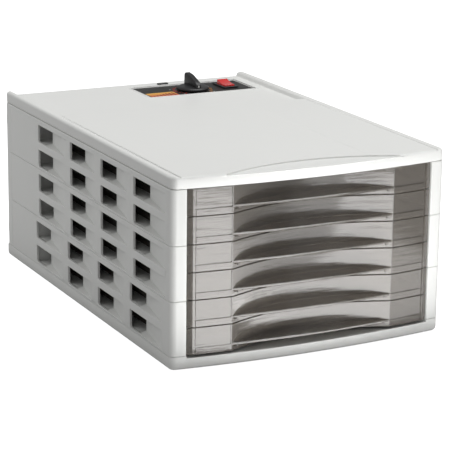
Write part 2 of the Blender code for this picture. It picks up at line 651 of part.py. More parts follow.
# ---------------------------------------------------------------- controls
def build_controls():
    px, py = panel_centre()
    hx, hy = PANEL_SIZE[0] / 2 - GAP, PANEL_SIZE[1] / 2 - GAP
    panel = box("control_panel", (px - hx, py - hy, PANEL_TOP - PANEL_THICK),
                (px + hx, py + hy, PANEL_TOP))
    cut_control_holes(panel, "panel", PANEL_TOP - 0.01, PANEL_TOP + 0.01)
    finish(panel, BLACK)

    kx, ky = knob_centre()
    base = PANEL_TOP + KNOB_LIFT
    radius = KNOB_DIAMETER / 2
    bore = SPINDLE_DIAMETER / 2 + GAP
    bore_top = KNOB_SKIRT + KNOB_GRIP[2] * 0.45
    dome = KNOB_SKIRT + 0.0012
    profile = [(0.0, dome), (radius * 0.6, dome - 0.0003), (radius - 0.0012, KNOB_SKIRT - 0.0004),
               (radius, KNOB_SKIRT - 0.0016), (radius, 0.0), (0.0, 0.0)]
    knob = turned("knob", profile, (kx, ky, base), 40)
    half_length = KNOB_GRIP[1] / 2
    high = KNOB_SKIRT + KNOB_GRIP[2]
    grip = [(-half_length, KNOB_SKIRT - 0.002), (half_length, KNOB_SKIRT - 0.002),
            (half_length, high - 0.003), (half_length - 0.002, high - 0.0005),
            (half_length - 0.005, high), (0.0, high - 0.003), (-half_length + 0.004, high - 0.0068),
            (-half_length, high - 0.0090)]
    fin = prism("knob_grip", grip, -KNOB_GRIP[0] / 2, KNOB_GRIP[0] / 2, 'YZ', (kx, ky, base))
    join(knob, fin)
    cut(knob, cylinders("knob_bore", [((kx, ky, base - 0.005), 'Z', bore_top + 0.005, bore)], 16))
    finish(knob, BLACK)
    foot = ZONE_UNDER - 0.016
    spindle = cylinders("thermostat_spindle", [((kx, ky, foot), 'Z', base + bore_top - GAP - foot,
                                               SPINDLE_DIAMETER / 2)], 16, (kx, ky, foot))
    finish(smooth(spindle), STEEL)
    top = ZONE_UNDER - GAP
    thermostat = box("thermostat", (kx - 0.018, ky - 0.016, top - 0.021),
                     (kx + 0.018, ky + 0.016, top))
    join(thermostat, cylinders("thermostat_neck", [((kx, ky, top - 0.002), 'Z',
                                                   PANEL_TOP - top + 0.002 - GAP,
                                                   NECK_DIAMETER / 2)], 24))
    cut(thermostat, cylinders("thermostat_bore", [((kx, ky, foot - GAP), 'Z', 0.05,
                                                  SPINDLE_DIAMETER / 2 + GAP)], 16))
    finish(thermostat, CREAM)

    sx, sy = switch_centre()
    hx, hy = switch_half()
    flange_low = PANEL_TOP + GAP
    flange_top = flange_low + SWITCH_FLANGE
    housing = box("switch_housing", (sx - hx, sy - hy, flange_top - SWITCH_DEPTH),
                  (sx + hx, sy + hy, flange_low + SWITCH_FLANGE / 2))
    join(housing, boxes("switch_flange", [((sx - hx - SWITCH_WALL, sy - hy - SWITCH_WALL,
                                            flange_low), (sx + hx + SWITCH_WALL,
                                                          sy + hy + SWITCH_WALL, flange_top))]))
    cx, cy = hx - SWITCH_WALL, hy - SWITCH_WALL
    cut(housing, boxes("switch_well", [((sx - cx, sy - cy, flange_top - SWITCH_DEPTH + 0.004),
                                        (sx + cx, sy + cy, flange_top + 0.01))]))
    pivot_z = flange_low - 0.0030
    cut(housing, cylinders("switch_pivot_holes", [((sx - hx - 0.01, sy, pivot_z), 'X',
                                                  2 * hx + 0.02, 0.0010 + GAP)], 12))
    finish(housing, BLACK)
    half_long = ROCKER_SIZE[1] / 2
    crown = flange_top - pivot_z + 0.0035
    shape = [(-half_long, crown), (-half_long, -0.0005), (-0.0035, -0.0050),
             (0.0035, -0.0050), (half_long, -0.0005), (half_long, crown), (0.0, crown - 0.0014)]
    tilt = math.radians(ROCKER_TILT)
    shape = [(u * math.cos(tilt) - v * math.sin(tilt), u * math.sin(tilt) + v * math.cos(tilt))
             for u, v in shape]
    half_wide = ROCKER_SIZE[0] / 2
    rocker = prism("switch_rocker", shape, -half_wide, half_wide, 'YZ', (sx, sy, pivot_z))
    join(rocker, cylinders("rocker_pins", [((sx - hx + GAP, sy, pivot_z), 'X',
                                           2 * hx - 2 * GAP, 0.0010)], 12))
    finish(rocker, RED)


# ---------------------------------------------------------------- trays
def front_offset(x):
    """Outer face of a tray front: bowed at its ends, hollowed for the fingers between."""
    if abs(x) >= HOLLOW_HALF:
        return bow(x)
    return arc_through(HOLLOW_HALF, bow(HOLLOW_HALF), HOLLOW_APEX, x)


def front_path():
    xs = steps(-FRONT_HALF, -HOLLOW_HALF, 3) + steps(-HOLLOW_HALF, HOLLOW_HALF, 12)[1:]
    xs += steps(HOLLOW_HALF, FRONT_HALF, 3)[1:]
    return xs


def build_tray(index):
    number = index + 1
    z = BASE_TOP + index * LEVEL_HEIGHT
    xs = front_path()
    outer = [(x, CORNER_Y + front_offset(x)) for x in xs]
    back = [(x, y + FRONT_THICK) for x, y in reversed(outer)]
    front = prism("tray_front_%d" % number, outer + back, z + GAP, z + LEVEL_HEIGHT - GAP)
    lip = [(x, CORNER_Y + bow(x) - LIP_PROUD * (1 - (x / HOLLOW_HALF) ** 2))
           for x in steps(-HOLLOW_HALF, HOLLOW_HALF, 12)]
    lip += [(x, CORNER_Y + front_offset(x) + FRONT_THICK / 2)
            for x in reversed(steps(-HOLLOW_HALF, HOLLOW_HALF, 12))]
    join(front, prism("tray_lip_%d" % number, lip, z + LIP_TOP - LIP_THICK, z + LIP_TOP))
    finish(front, SMOKED)

    under = z + RAIL_TOP + GAP
    edge = [(x, CORNER_Y + front_offset(x) + FRONT_THICK + GAP) for x in front_path()
            if abs(x) < TRAY_HALF]
    y_end = CORNER_Y + bow(TRAY_HALF) + FRONT_THICK + GAP
    edge = [(-TRAY_HALF, y_end)] + edge + [(TRAY_HALF, y_end)]
    plan = edge + [(TRAY_HALF, TRAY_REAR), (-TRAY_HALF, TRAY_REAR)]
    tray = prism("tray_%d" % number, plan, under, under + TRAY_RIM)
    inner_x = TRAY_HALF - TRAY_RIM_WIDTH
    inner_front = CORNER_Y + HOLLOW_APEX + FRONT_THICK + TRAY_RIM_WIDTH
    inner_rear = TRAY_REAR - TRAY_RIM_WIDTH
    cut(tray, boxes("tray_%d_well" % number, [((-inner_x, inner_front, under + TRAY_PLATE),
                                               (inner_x, inner_rear, under + 0.02))]))
    columns, rows = TRAY_WINDOWS
    step_x = (2 * inner_x + TRAY_RIB) / columns
    step_y = (inner_rear - inner_front - 2 * TRAY_RIB + TRAY_RIB) / rows
    windows = []
    for column in range(columns):
        for row in range(rows):
            x = -inner_x + column * step_x
            y = inner_front + TRAY_RIB + row * step_y
            low_x = x + (TRAY_RIB if column == 0 else 0.0)
            high_x = x + step_x - TRAY_RIB - (TRAY_RIB if column == columns - 1 else 0.0)
            windows.append(((low_x, y, under - 0.002),
                            (high_x, y + step_y - TRAY_RIB, under + TRAY_PLATE + 0.001)))
    cut(tray, boxes("tray_%d_windows" % number, windows))
    finish(tray, SMOKED)
    sheet = box("mesh_sheet_%d" % number,
                (-inner_x + SHEET_CLEARANCE, inner_front + SHEET_CLEARANCE,
                 under + TRAY_PLATE + GAP),
                (inner_x - SHEET_CLEARANCE, inner_rear - SHEET_CLEARANCE,
                 under + TRAY_PLATE + GAP + SHEET_THICK))
    finish(sheet, MESH)


# ---------------------------------------------------------------- fan, motor, heater, wiring block
HEATER_Y = CROSS_REAR + 0.0027
COIL_Y = HEATER_Y + HEATER_DEPTH + GAP + COIL_WIRE / 2
SHROUD_Y = COIL_Y + COIL_WIRE / 2 + 0.003
SHROUD_PLATE = 0.0025
COLLAR_LENGTH = 0.016
COLLAR_WALL = 0.003
FAN_Y = SHROUD_Y + SHROUD_PLATE + 0.0010
BRACKET_THICK = 0.0025
BRACKET_Y = FAN_Y + FAN_DEPTH + 0.004
MOTOR_Y = BRACKET_Y + BRACKET_THICK + GAP
BRACKET_HALF = 0.072


def build_machine():
    frame_x, frame_z = HEATER_SIZE[0] / 2, HEATER_SIZE[1] / 2
    heater = box("heater_frame", (-frame_x, HEATER_Y, FAN_Z - frame_z),
                 (frame_x, HEATER_Y + HEATER_DEPTH, FAN_Z + frame_z))
    panes = []
    pane = (2 * frame_x - 4 * HEATER_BAR) / 3
    for index in range(3):
        x = -frame_x + HEATER_BAR + index * (pane + HEATER_BAR)
        panes.append(((x, HEATER_Y - 0.01, FAN_Z - frame_z + HEATER_BAR),
                      (x + pane, HEATER_Y + HEATER_DEPTH + 0.01, FAN_Z + frame_z - HEATER_BAR)))
    cut(heater, boxes("heater_panes", panes))
    finish(heater, MICA)

    reach = frame_x - HEATER_BAR
    pitch = (2 * frame_z - 4 * HEATER_BAR) / (COIL_RUNS - 1)
    points = []
    for run in range(COIL_RUNS):
        z = -frame_z + 2 * HEATER_BAR + run * pitch
        direction = 1 if run % 2 == 0 else -1
        points.append((-direction * (reach - pitch / 2), z))
        points.append((direction * (reach - pitch / 2), z))
        if run < COIL_RUNS - 1:
            for angle in (-54, -18, 18, 54):
                a = math.radians(angle)
                points.append((direction * (reach - pitch / 2 + pitch / 2 * math.cos(a)),
                               z + pitch / 2 + pitch / 2 * math.sin(a)))
    data = bpy.data.curves.new("heater_coil", 'CURVE')
    data.dimensions = '3D'
    data.bevel_depth = COIL_WIRE / 2
    data.bevel_resolution = 1
    data.use_fill_caps = True
    spline = data.splines.new('POLY')
    spline.points.add(len(points) - 1)
    for point, (x, z) in zip(spline.points, points):
        point.co = (x, 0.0, z, 1.0)
    coil = bpy.data.objects.new("heater_coil_path", data)
    coil.location = (0.0, COIL_Y, FAN_Z)
    CUTTERS.objects.link(coil)
    coil = curve_to_mesh(coil, "heater_coil")
    finish(coil, NICHROME)

    cutout_x = frame_x + 0.012
    cutout = cylinders("thermal_cutout", [((cutout_x, SHROUD_Y - GAP - 0.009, FAN_Z - 0.04), 'Y',
                                          0.009, 0.008)], 20,
                       (cutout_x, SHROUD_Y - GAP - 0.009, FAN_Z - 0.04))
    finish(smooth(cutout), STEEL)

    hole = FAN_DIAMETER / 2 + FAN_CLEARANCE
    shroud = box("fan_shroud", (-HALF + WALL + 0.001, SHROUD_Y, BASE_TOP + 0.002),
                 (HALF - WALL - 0.001, SHROUD_Y + SHROUD_PLATE, LID_BOTTOM - 0.002))
    collar = cylinders("shroud_collar", [((0.0, SHROUD_Y + SHROUD_PLATE / 2, FAN_Z), 'Y',
                                         COLLAR_LENGTH, hole + COLLAR_WALL)], 40)
    join(shroud, collar)
    cut(shroud, cylinders("shroud_bore", [((0.0, SHROUD_Y - 0.01, FAN_Z), 'Y', 0.05, hole)], 40))
    finish(shroud, STEEL)

    fan = cylinders("fan", [((0.0, FAN_Y, FAN_Z), 'Y', FAN_DEPTH, FAN_HUB / 2)], 32,
                    (0.0, FAN_Y, FAN_Z))
    bm = bmesh.new()
    span = FAN_DIAMETER / 2 - FAN_HUB / 2 + 0.003
    for index in range(FAN_BLADES):
        turn = Matrix.Rotation(math.tau * index / FAN_BLADES, 4, 'Y')
        pitch_turn = Matrix.Rotation(math.radians(BLADE_PITCH), 4, 'Z')
        place = Matrix.Translation((0.0, FAN_DEPTH / 2, FAN_HUB / 2 - 0.003 + span / 2))
        size = Matrix.Diagonal((BLADE_CHORD, 0.0016, span, 1.0))
        bmesh.ops.create_cube(bm, size=1.0, matrix=turn @ place @ pitch_turn @ size)
    join(fan, mesh_object("fan_blades", bm, (0.0, FAN_Y, FAN_Z)))
    cut(fan, cylinders("fan_bore", [((0.0, FAN_Y - 0.01, FAN_Z), 'Y', 0.04,
                                    SHAFT_DIAMETER / 2 + GAP)], 16))
    finish(fan, BLACK)
    shaft_end = MOTOR_Y + MOTOR_SIZE[1] * 0.7
    shaft = cylinders("motor_shaft", [((0.0, FAN_Y + 0.001, FAN_Z), 'Y', shaft_end - FAN_Y - 0.001,
                                      SHAFT_DIAMETER / 2)], 16, (0.0, FAN_Y + 0.001, FAN_Z))
    finish(smooth(shaft), STEEL)
    mx, my, mz = MOTOR_SIZE
    motor = box("motor", (-mx / 2, MOTOR_Y, FAN_Z - mz / 2), (mx / 2, MOTOR_Y + my, FAN_Z + mz / 2))
    cut(motor, cylinders("motor_bore", [((0.0, MOTOR_Y - 0.01, FAN_Z), 'Y',
                                        my * 0.7 + 0.01 + GAP, SHAFT_DIAMETER / 2 + GAP)], 16))
    finish(motor, STEEL)
    leg = 0.003
    bracket = box("motor_bracket", (-BRACKET_HALF - leg, BRACKET_Y, FAN_Z - 0.009),
                  (BRACKET_HALF + leg, BRACKET_Y + BRACKET_THICK, FAN_Z + 0.009))
    legs = [((side * BRACKET_HALF - (leg if side < 0 else 0.0), SHROUD_Y + SHROUD_PLATE + GAP,
              FAN_Z - 0.008),
             (side * BRACKET_HALF + (leg if side > 0 else 0.0), BRACKET_Y + BRACKET_THICK / 2,
              FAN_Z + 0.008)) for side in (-1, 1)]
    join(bracket, boxes("bracket_legs", legs))
    cut(bracket, cylinders("bracket_hole", [((0.0, BRACKET_Y - 0.01, FAN_Z), 'Y', 0.03,
                                            0.004)], 16))
    finish(bracket, STEEL)

    tx = GLAND_SPOT[0]
    block = box("terminal_block", (tx - 0.018, SHROUD_Y + SHROUD_PLATE + GAP, BASE_TOP + 0.020),
                (tx + 0.018, SHROUD_Y + SHROUD_PLATE + GAP + 0.012, BASE_TOP + 0.038))
    cut(block, cylinders("terminal_wire_ways", [((tx - 0.012 + 0.008 * i, SHROUD_Y, BASE_TOP
                                                 + 0.015), 'Z', 0.05, 0.0018)
                                                for i in range(4)], 8))
    finish(block, CREAM)


def main():
    build_base()
    for index, name in enumerate(("module_lower", "module_middle", "module_upper")):
        build_module(name, index)
    build_lid()
    build_rear_cover()
    build_controls()
    for index in range(MODULES * LEVELS):
        build_tray(index)
    build_machine()


main()
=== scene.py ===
"""Finished surfaces for a box-shaped food dehydrator with six pull-out trays.

Each operator builds one piece, or one group of like pieces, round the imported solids: a moulded
housing of stacked rings with louvred sides, a lid with a sunk control zone, smoked tray fronts
with a hollow for the fingers, woven drying sheets, and the fan and heater bay behind the trays.
"""
import math

import bmesh
import bpy
from bpy.props import FloatProperty, FloatVectorProperty, IntProperty, PointerProperty
from mathutils import Matrix, Vector


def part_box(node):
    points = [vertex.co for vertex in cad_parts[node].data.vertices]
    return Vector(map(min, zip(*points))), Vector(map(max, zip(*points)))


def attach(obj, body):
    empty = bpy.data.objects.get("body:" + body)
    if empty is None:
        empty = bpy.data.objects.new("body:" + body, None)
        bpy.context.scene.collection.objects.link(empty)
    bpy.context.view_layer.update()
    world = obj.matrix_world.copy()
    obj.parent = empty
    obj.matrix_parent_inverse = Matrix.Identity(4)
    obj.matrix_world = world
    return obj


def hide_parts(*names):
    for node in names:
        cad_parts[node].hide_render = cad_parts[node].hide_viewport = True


bl_info = {
    "name": "Food dehydrator finish",
    "version": (1, 0, 0),
    "blender": (4, 5, 0),
    "location": "View3D > Sidebar > Dehydrator",
    "description": "Moulded housing, smoked trays and controls of a food dehydrator",
    "category": "Object",
}

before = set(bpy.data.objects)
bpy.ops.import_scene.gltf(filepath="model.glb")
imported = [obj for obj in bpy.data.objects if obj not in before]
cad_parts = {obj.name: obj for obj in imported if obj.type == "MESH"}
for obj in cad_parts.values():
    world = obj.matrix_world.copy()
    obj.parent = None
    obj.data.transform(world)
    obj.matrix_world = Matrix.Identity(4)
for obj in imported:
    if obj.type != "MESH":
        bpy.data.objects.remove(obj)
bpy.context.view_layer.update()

BASE_LOW, BASE_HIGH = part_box("base")
LID_LOW, LID_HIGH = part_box("lid")
COVER_LOW, COVER_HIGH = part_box("rear_cover")
HALF = BASE_HIGH[0]
REAR = BASE_HIGH[1]
LEVELS = 6
LEVEL = (LID_LOW[2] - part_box("module_lower")[0][2]) / LEVELS
WALL = 0.003
GAP = 0.0003                # between pieces that touch
LID_INSET = 0.001           # the lid's sides stand inside the modules'
LID_WALL = 0.0032
NECK_HOLE_LENGTH = 0.03
CROSS_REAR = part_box("heater_frame")[0][1] - 0.0027
CROSS_FRONT = CROSS_REAR - WALL
LID_RIB_REAR = 0.2932       # rear side of the rib under the lid, behind the corner line
VENT_LOW = 0.0022           # above the level's floor
VENT_HIGH = 0.0220
LOWER_VENT_SHIFT = 0.009    # the lowest module's vents sit farther back
TRAY_BODY = "tray_slide_%d"


# ------------------------------------------------------------------ sizes and colours
class HousingSettings(bpy.types.PropertyGroup):
    front_bow: FloatProperty(name="Front bow", unit='LENGTH', default=0.0106,
                             description="How far the front bulges past its corners")
    corner_radius: FloatProperty(name="Corner radius", unit='LENGTH', default=0.0075,
                                 description="Radius of the upright front corners")
    rear_radius: FloatProperty(name="Rear radius", unit='LENGTH', default=0.004,
                               description="Radius of the upright rear corners")
    post_width: FloatProperty(name="Post width", unit='LENGTH', default=0.0167,
                              description="Width of each post beside the trays")
    vent_corner: FloatProperty(name="Vent corner", unit='LENGTH', default=0.0032,
                               description="Corner radius of the side vents")
    vent_depth: FloatProperty(name="Vent depth", unit='LENGTH', default=0.0085,
                              description="Depth of a vent's ramp at its inner end")
    edge: FloatProperty(name="Edge", unit='LENGTH', default=0.0005,
                        description="Rounding of the moulded edges")
    colour: FloatVectorProperty(name="Housing colour", subtype='COLOR', size=3,
                                default=(0.79, 0.795, 0.775), min=0.0, max=1.0,
                                description="Light grey moulding")


class LidSettings(bpy.types.PropertyGroup):
    rim_width: FloatProperty(name="Rim width", unit='LENGTH', default=0.0088,
                             description="Width of the rounded rims along the sides")
    panel_drop: FloatProperty(name="Panel drop", unit='LENGTH', default=0.0007,
                              description="Middle of the lid below its rims")
    groove_depth: FloatProperty(name="Groove depth", unit='LENGTH', default=0.0013,
                                description="Groove beside each rim")
    scoop_half: FloatProperty(name="Scoop half width", unit='LENGTH', default=0.100,
                              description="Where the scoop's arc meets the front edge")
    scoop_apex: FloatProperty(name="Scoop apex", unit='LENGTH', default=0.0175,
                              description="Apex of the scoop's arc behind the corner line")
    scoop_depth: FloatProperty(name="Scoop depth", unit='LENGTH', default=0.0018,
                               description="Depth of the scoop")
    zone_drop: FloatProperty(name="Zone drop", unit='LENGTH', default=0.0057,
                             description="Floor of the control zone below the rims")


class TraySettings(bpy.types.PropertyGroup):
    hollow_half: FloatProperty(name="Hollow half width", unit='LENGTH', default=0.0915,
                               description="Half width of the finger hollow")
    hollow_apex: FloatProperty(name="Hollow apex", unit='LENGTH', default=0.0132,
                               description="Apex of the hollow behind the corner line")
    lip_top: FloatProperty(name="Lip top", unit='LENGTH', default=0.0085,
                           description="Top of the lip above the tray's lower edge")
    lip_thick: FloatProperty(name="Lip thickness", unit='LENGTH', default=0.0025,
                             description="Thickness of the lip")
    wall: FloatProperty(name="Front wall", unit='LENGTH', default=0.0025,
                        description="Thickness of the smoked front")
    strand_pitch: FloatProperty(name="Strand pitch", unit='LENGTH', default=0.0048,
                                description="Distance between the strands of a drying sheet")
    colour: FloatVectorProperty(name="Smoked colour", subtype='COLOR', size=3,
                                default=(0.29, 0.255, 0.215), min=0.0, max=1.0,
                                description="Smoked translucent moulding")


class ControlSettings(bpy.types.PropertyGroup):
    panel_chamfer: FloatProperty(name="Panel chamfer", unit='LENGTH', default=0.0012,
                                 description="Sloped edge round the sunk panel")
    knob_ridges: IntProperty(name="Knob ridges", default=60, min=8,
                             description="Ridges round the knob's skirt")
    lamp: FloatProperty(name="Lamp", default=0.12, min=0.0,
                        description="Glow of the lit rocker")
    rocker_colour: FloatVectorProperty(name="Rocker colour", subtype='COLOR', size=3,
                                       default=(0.66, 0.022, 0.02), min=0.0, max=1.0,
                                       description="Red translucent rocker")


class StageSettings(bpy.types.PropertyGroup):
    camera_place: FloatVectorProperty(name="Camera place", subtype='TRANSLATION', size=3,
                                      default=(-0.9307, -1.87845, 0.6541),
                                      description="Camera position")
    camera_turn: FloatProperty(name="Turn", default=26.7202, description="Degrees right of +Y")
    camera_tilt: FloatProperty(name="Tilt", default=15.3633, description="Degrees downwards")
    camera_roll: FloatProperty(name="Roll", default=0.6588, description="Degrees of roll")
    lens: FloatProperty(name="Lens", default=156.61, description="Focal length in millimetres")
    fill: FloatProperty(name="Fill", default=0.33, description="Even light from all round")


SETTINGS = {"housing": HousingSettings, "lid": LidSettings, "tray": TraySettings,
            "control": ControlSettings, "stage": StageSettings}


def sizes(name):
    return getattr(bpy.context.scene, "dehydrator_" + name)


# ------------------------------------------------------------------ plan curves
def corner_y():
    return BASE_LOW[1] + sizes("housing").front_bow


def bow(x):
    """Offset of the bowed front from the line through the front corners."""
    return -sizes("housing").front_bow * (1.0 - (x / HALF) ** 2)


def arc_through(half, end, apex, x):
    rise = apex - end
    radius = (half * half + rise * rise) / (2.0 * rise)
    return apex - radius + math.sqrt(max(radius * radius - x * x, 0.0))


def steps(a, b, count):
    """Evenly spaced values from a to b, both included."""
    return [a + (b - a) * i / count for i in range(count + 1)]


def arc(cx, cy, radius, first, last, count):
    """Points along an arc between two angles in degrees."""
    return [(cx + radius * math.cos(math.radians(a)), cy + radius * math.sin(math.radians(a)))
            for a in steps(first, last, count)]


def centre(node):
    """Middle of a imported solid's box."""
    return [(low + high) / 2 for low, high in zip(*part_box(node))]


def outline(inset, rear, side, turns=8, r_rear=None):
    """Plan of the housing: bowed front, rounded corners, straight sides and rear."""
    r_front = max(sizes("housing").corner_radius - inset, 0.001)
    r_rear = max((sizes("housing").rear_radius if r_rear is None else r_rear) - inset, 0.0005)
    turn = side - r_front
    y0 = corner_y()
    points = [(x, y0 + inset + bow(x)) for x in steps(-turn, turn, 28)]
    y_end = points.pop()[1]
    points += arc(turn, y_end + r_front, r_front, -87, 0, turns)
    points += arc(side - r_rear, rear - r_rear, r_rear, 0, 90, turns // 2)
    points += arc(-side + r_rear, rear - r_rear, r_rear, 90, 180, turns // 2)
    points += arc(-turn, y_end + r_front, r_front, 180, 267, turns)
    return points


def interpolated(stops, x):
    """Smooth curve through (x, value) stops."""
    if x <= stops[0][0]:
        return stops[0][1]
    for index in range(len(stops) - 1):
        (x1, v1), (x2, v2) = stops[index], stops[index + 1]
        if x <= x2:
            v0 = stops[index - 1][1] if index else v1
            v3 = stops[index + 2][1] if index + 2 < len(stops) else v2
            t = (x - x1) / (x2 - x1)
            return 0.5 * (2 * v1 + (v2 - v0) * t + (2 * v0 - 5 * v1 + 4 * v2 - v3) * t * t
                          + (3 * v1 - v0 - 3 * v2 + v3) * t ** 3)
    return stops[-1][1]


# ------------------------------------------------------------------ mesh tools
def new_piece(name, bm, facets=False):
    mesh = bpy.data.meshes.new(name)
    if facets:
        bmesh.ops.triangulate(bm, faces=bm.faces)
    bmesh.ops.recalc_face_normals(bm, faces=bm.faces)
    bm.to_mesh(mesh)
    bm.free()
    obj = bpy.data.objects.new(name, mesh)
    bpy.context.scene.collection.objects.link(obj)
    return obj


def add_prism(bm, points, low, high):
    """Close an outline between two heights in bm."""
    bottom = [bm.verts.new((x, y, low)) for x, y in points]
    top = [bm.verts.new((x, y, high)) for x, y in points]
    bm.faces.new(list(reversed(bottom)))
    bm.faces.new(top)
    count = len(points)
    for i in range(count):
        j = (i + 1) % count
        bm.faces.new((bottom[i], bottom[j], top[j], top[i]))


def turn_new(bm, before, order):
    """Reorder the axes of the vertices added since before."""
    for vert in list(bm.verts)[before:]:
        vert.co = Vector(tuple(vert.co[i] for i in order))


def add_prism_x(bm, points, low, high):
    """Close a (y, z) outline between two places along x."""
    before = len(bm.verts)
    add_prism(bm, points, low, high)
    turn_new(bm, before, (2, 0, 1))


def add_prism_y(bm, points, low, high):
    """Close an (x, z) outline between two places along y."""
    before = len(bm.verts)
    add_prism(bm, points, low, high)
    turn_new(bm, before, (0, 2, 1))


def add_to(obj, other):
    """Add another piece's mesh to obj as separate shells."""
    bm = bmesh.new()
    bm.from_mesh(obj.data)
    bm.from_mesh(other.data)
    bm.to_mesh(obj.data)
    bm.free()
    bpy.data.objects.remove(other, do_unlink=True)
    return obj


def prism(name, points, low, high):
    bm = bmesh.new()
    add_prism(bm, points, low, high)
    return new_piece(name, bm)


def loft(name, levels, ring=False, facets=False):
    """Skin a stack of outlines, capped at both ends or joined end to end as a ring."""
    bm = bmesh.new()
    loops = [[bm.verts.new(point) for point in level] for level in levels]
    for a, b in zip(loops, loops[1:] + loops[:1] if ring else loops[1:]):
        for i in range(len(a)):
            j = (i + 1) % len(a)
            bm.faces.new((a[i], a[j], b[j], b[i]))
    if not ring:
        bm.faces.new(list(reversed(loops[0])))
        bm.faces.new(loops[-1])
    return new_piece(name, bm, facets)


def add_grid(bm, rows):
    """Fill the quads between neighbouring rows of vertices."""
    for a, b in zip(rows, rows[1:]):
        for i in range(len(a) - 1):
            bm.faces.new((a[i], a[i + 1], b[i + 1], b[i]))


def add_slab(bm, near, far):
    """Close two facing grids of vertices: both skins and the four edges between them."""
    add_grid(bm, near)
    add_grid(bm, far)
    for row in (0, -1):
        add_grid(bm, [near[row], far[row]])
    for column in (0, -1):
        add_grid(bm, [[row[column] for row in near], [row[column] for row in far]])


def add_box(bm, low, high):
    size = [h - l for l, h in zip(low, high)]
    middle = [(h + l) / 2 for l, h in zip(low, high)]
    bmesh.ops.create_cube(bm, size=1.0,
                          matrix=Matrix.Translation(middle) @ Matrix.Diagonal((*size, 1.0)))


def boxes(name, spans):
    bm = bmesh.new()
    for low, high in spans:
        add_box(bm, low, high)
    return new_piece(name, bm)


def add_rod(bm, start, axis, length, radius, segments=32):
    turns = {'X': Matrix.Rotation(math.radians(90), 4, 'Y'),
             'Y': Matrix.Rotation(math.radians(-90), 4, 'X'), 'Z': Matrix.Identity(4)}
    middle = Vector(start)
    middle['XYZ'.index(axis)] += length / 2
    bmesh.ops.create_cone(bm, cap_ends=True, segments=segments, radius1=radius, radius2=radius,
                          depth=length, matrix=Matrix.Translation(middle) @ turns[axis])


def rods(name, items, segments=32):
    bm = bmesh.new()
    for start, axis, length, radius in items:
        add_rod(bm, start, axis, length, radius, segments)
    return new_piece(name, bm)


def lathe(name, profile, place, segments=64, axis='Z'):
    """Turn a closed (radius, height) profile round an axis through place."""
    bm = bmesh.new()
    rings = []
    for radius, height in profile:
        count = segments if radius > 0.0 else 1
        rings.append([bm.verts.new((radius * math.cos(math.tau * i / segments),
                                    radius * math.sin(math.tau * i / segments), height))
                      for i in range(count)])
    bored = profile[0][0] > 0.0
    for a, b in zip(rings, rings[1:] + rings[:1] if bored else rings[1:]):
        for i in range(segments):
            j = (i + 1) % segments
            loop = [a[i % len(a)], a[j % len(a)], b[j % len(b)], b[i % len(b)]]
            unique = list(dict.fromkeys(loop))
            if len(unique) > 2:
                bm.faces.new(unique)
    if axis == 'Y':
        bmesh.ops.rotate(bm, verts=bm.verts, matrix=Matrix.Rotation(math.radians(-90), 3, 'X'))
    bmesh.ops.translate(bm, verts=bm.verts, vec=place)
    return new_piece(name, bm)


def carve(obj, other, operation='DIFFERENCE'):
    """Apply one exact boolean and drop the tool piece."""
    mod = obj.modifiers.new("carve", 'BOOLEAN')
    mod.operation = operation
    mod.solver = 'EXACT'
    mod.object = other
    bpy.context.view_layer.update()
    graph = bpy.context.evaluated_depsgraph_get()
    mesh = bpy.data.meshes.new_from_object(obj.evaluated_get(graph))
    old = obj.data
    obj.modifiers.clear()
    obj.data = mesh
    bpy.data.meshes.remove(old)
    bpy.data.objects.remove(other, do_unlink=True)
    return obj


def union(obj, other):
    return carve(obj, other, 'UNION')


def soften(obj, width, segments=2, angle=35.0, smooth=32.0):
    """Round the sharp edges and shade the rest smooth."""
    if width > 0.0:
        bm = bmesh.new()
        bm.from_mesh(obj.data)
        bmesh.ops.triangulate(bm, faces=[f for f in bm.faces if len(f.verts) > 4])
        bm.to_mesh(obj.data)
        bm.free()
        mod = obj.modifiers.new("edges", 'BEVEL')
        mod.width = width
        mod.segments = segments
        mod.limit_method = 'ANGLE'
        mod.angle_limit = math.radians(angle)
        mod.use_clamp_overlap = False
        mod.miter_outer = 'MITER_SHARP'
    obj.data.shade_smooth()
    obj.data.set_sharp_from_angle(angle=math.radians(smooth))
    return obj


def place(obj, body, material, slot, *nodes):
    """Give a piece its material, its body and the solids it stands for."""
    obj.data.materials.clear()
    for mat in material if isinstance(material, (list, tuple)) else [material]:
        obj.data.materials.append(mat)
    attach(obj, body)
    if nodes:
        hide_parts(*nodes)
    return obj


# ------------------------------------------------------------------ shader groups
def start_group(name, inputs, outputs):
    """Start a shader group from (name, kind, value) inputs and (name, kind) outputs."""
    tree = bpy.data.node_groups.new(name, 'ShaderNodeTree')
    for label, kind, value in inputs:
        socket = tree.interface.new_socket(name=label, in_out='INPUT', socket_type=kind)
        socket.default_value = value
    for label, kind in outputs:
        tree.interface.new_socket(name=label, in_out='OUTPUT', socket_type=kind)
    return tree, tree.nodes.new("NodeGroupInput"), tree.nodes.new("NodeGroupOutput")


def wire(tree, source, target):
    tree.links.new(source, target)


def math_node(tree, operation, a, b=None, clamp=False):
    node = tree.nodes.new("ShaderNodeMath")
    node.operation = operation
    node.use_clamp = clamp
    for socket, value in zip(node.inputs, (a, b)):
        if value is None:
            continue
        if isinstance(value, (int, float)):
            socket.default_value = value
        else:
            wire(tree, value, socket)
    return node.outputs[0]


def noise(tree, vector, scale, detail=3.0, rough=0.5):
    node = tree.nodes.new("ShaderNodeTexNoise")
    node.inputs["Detail"].default_value = detail
    node.inputs["Roughness"].default_value = rough
    wire(tree, vector, node.inputs["Vector"])
    if isinstance(scale, (int, float)):
        node.inputs["Scale"].default_value = scale
    else:
        wire(tree, scale, node.inputs["Scale"])
    return node.outputs["Fac"]


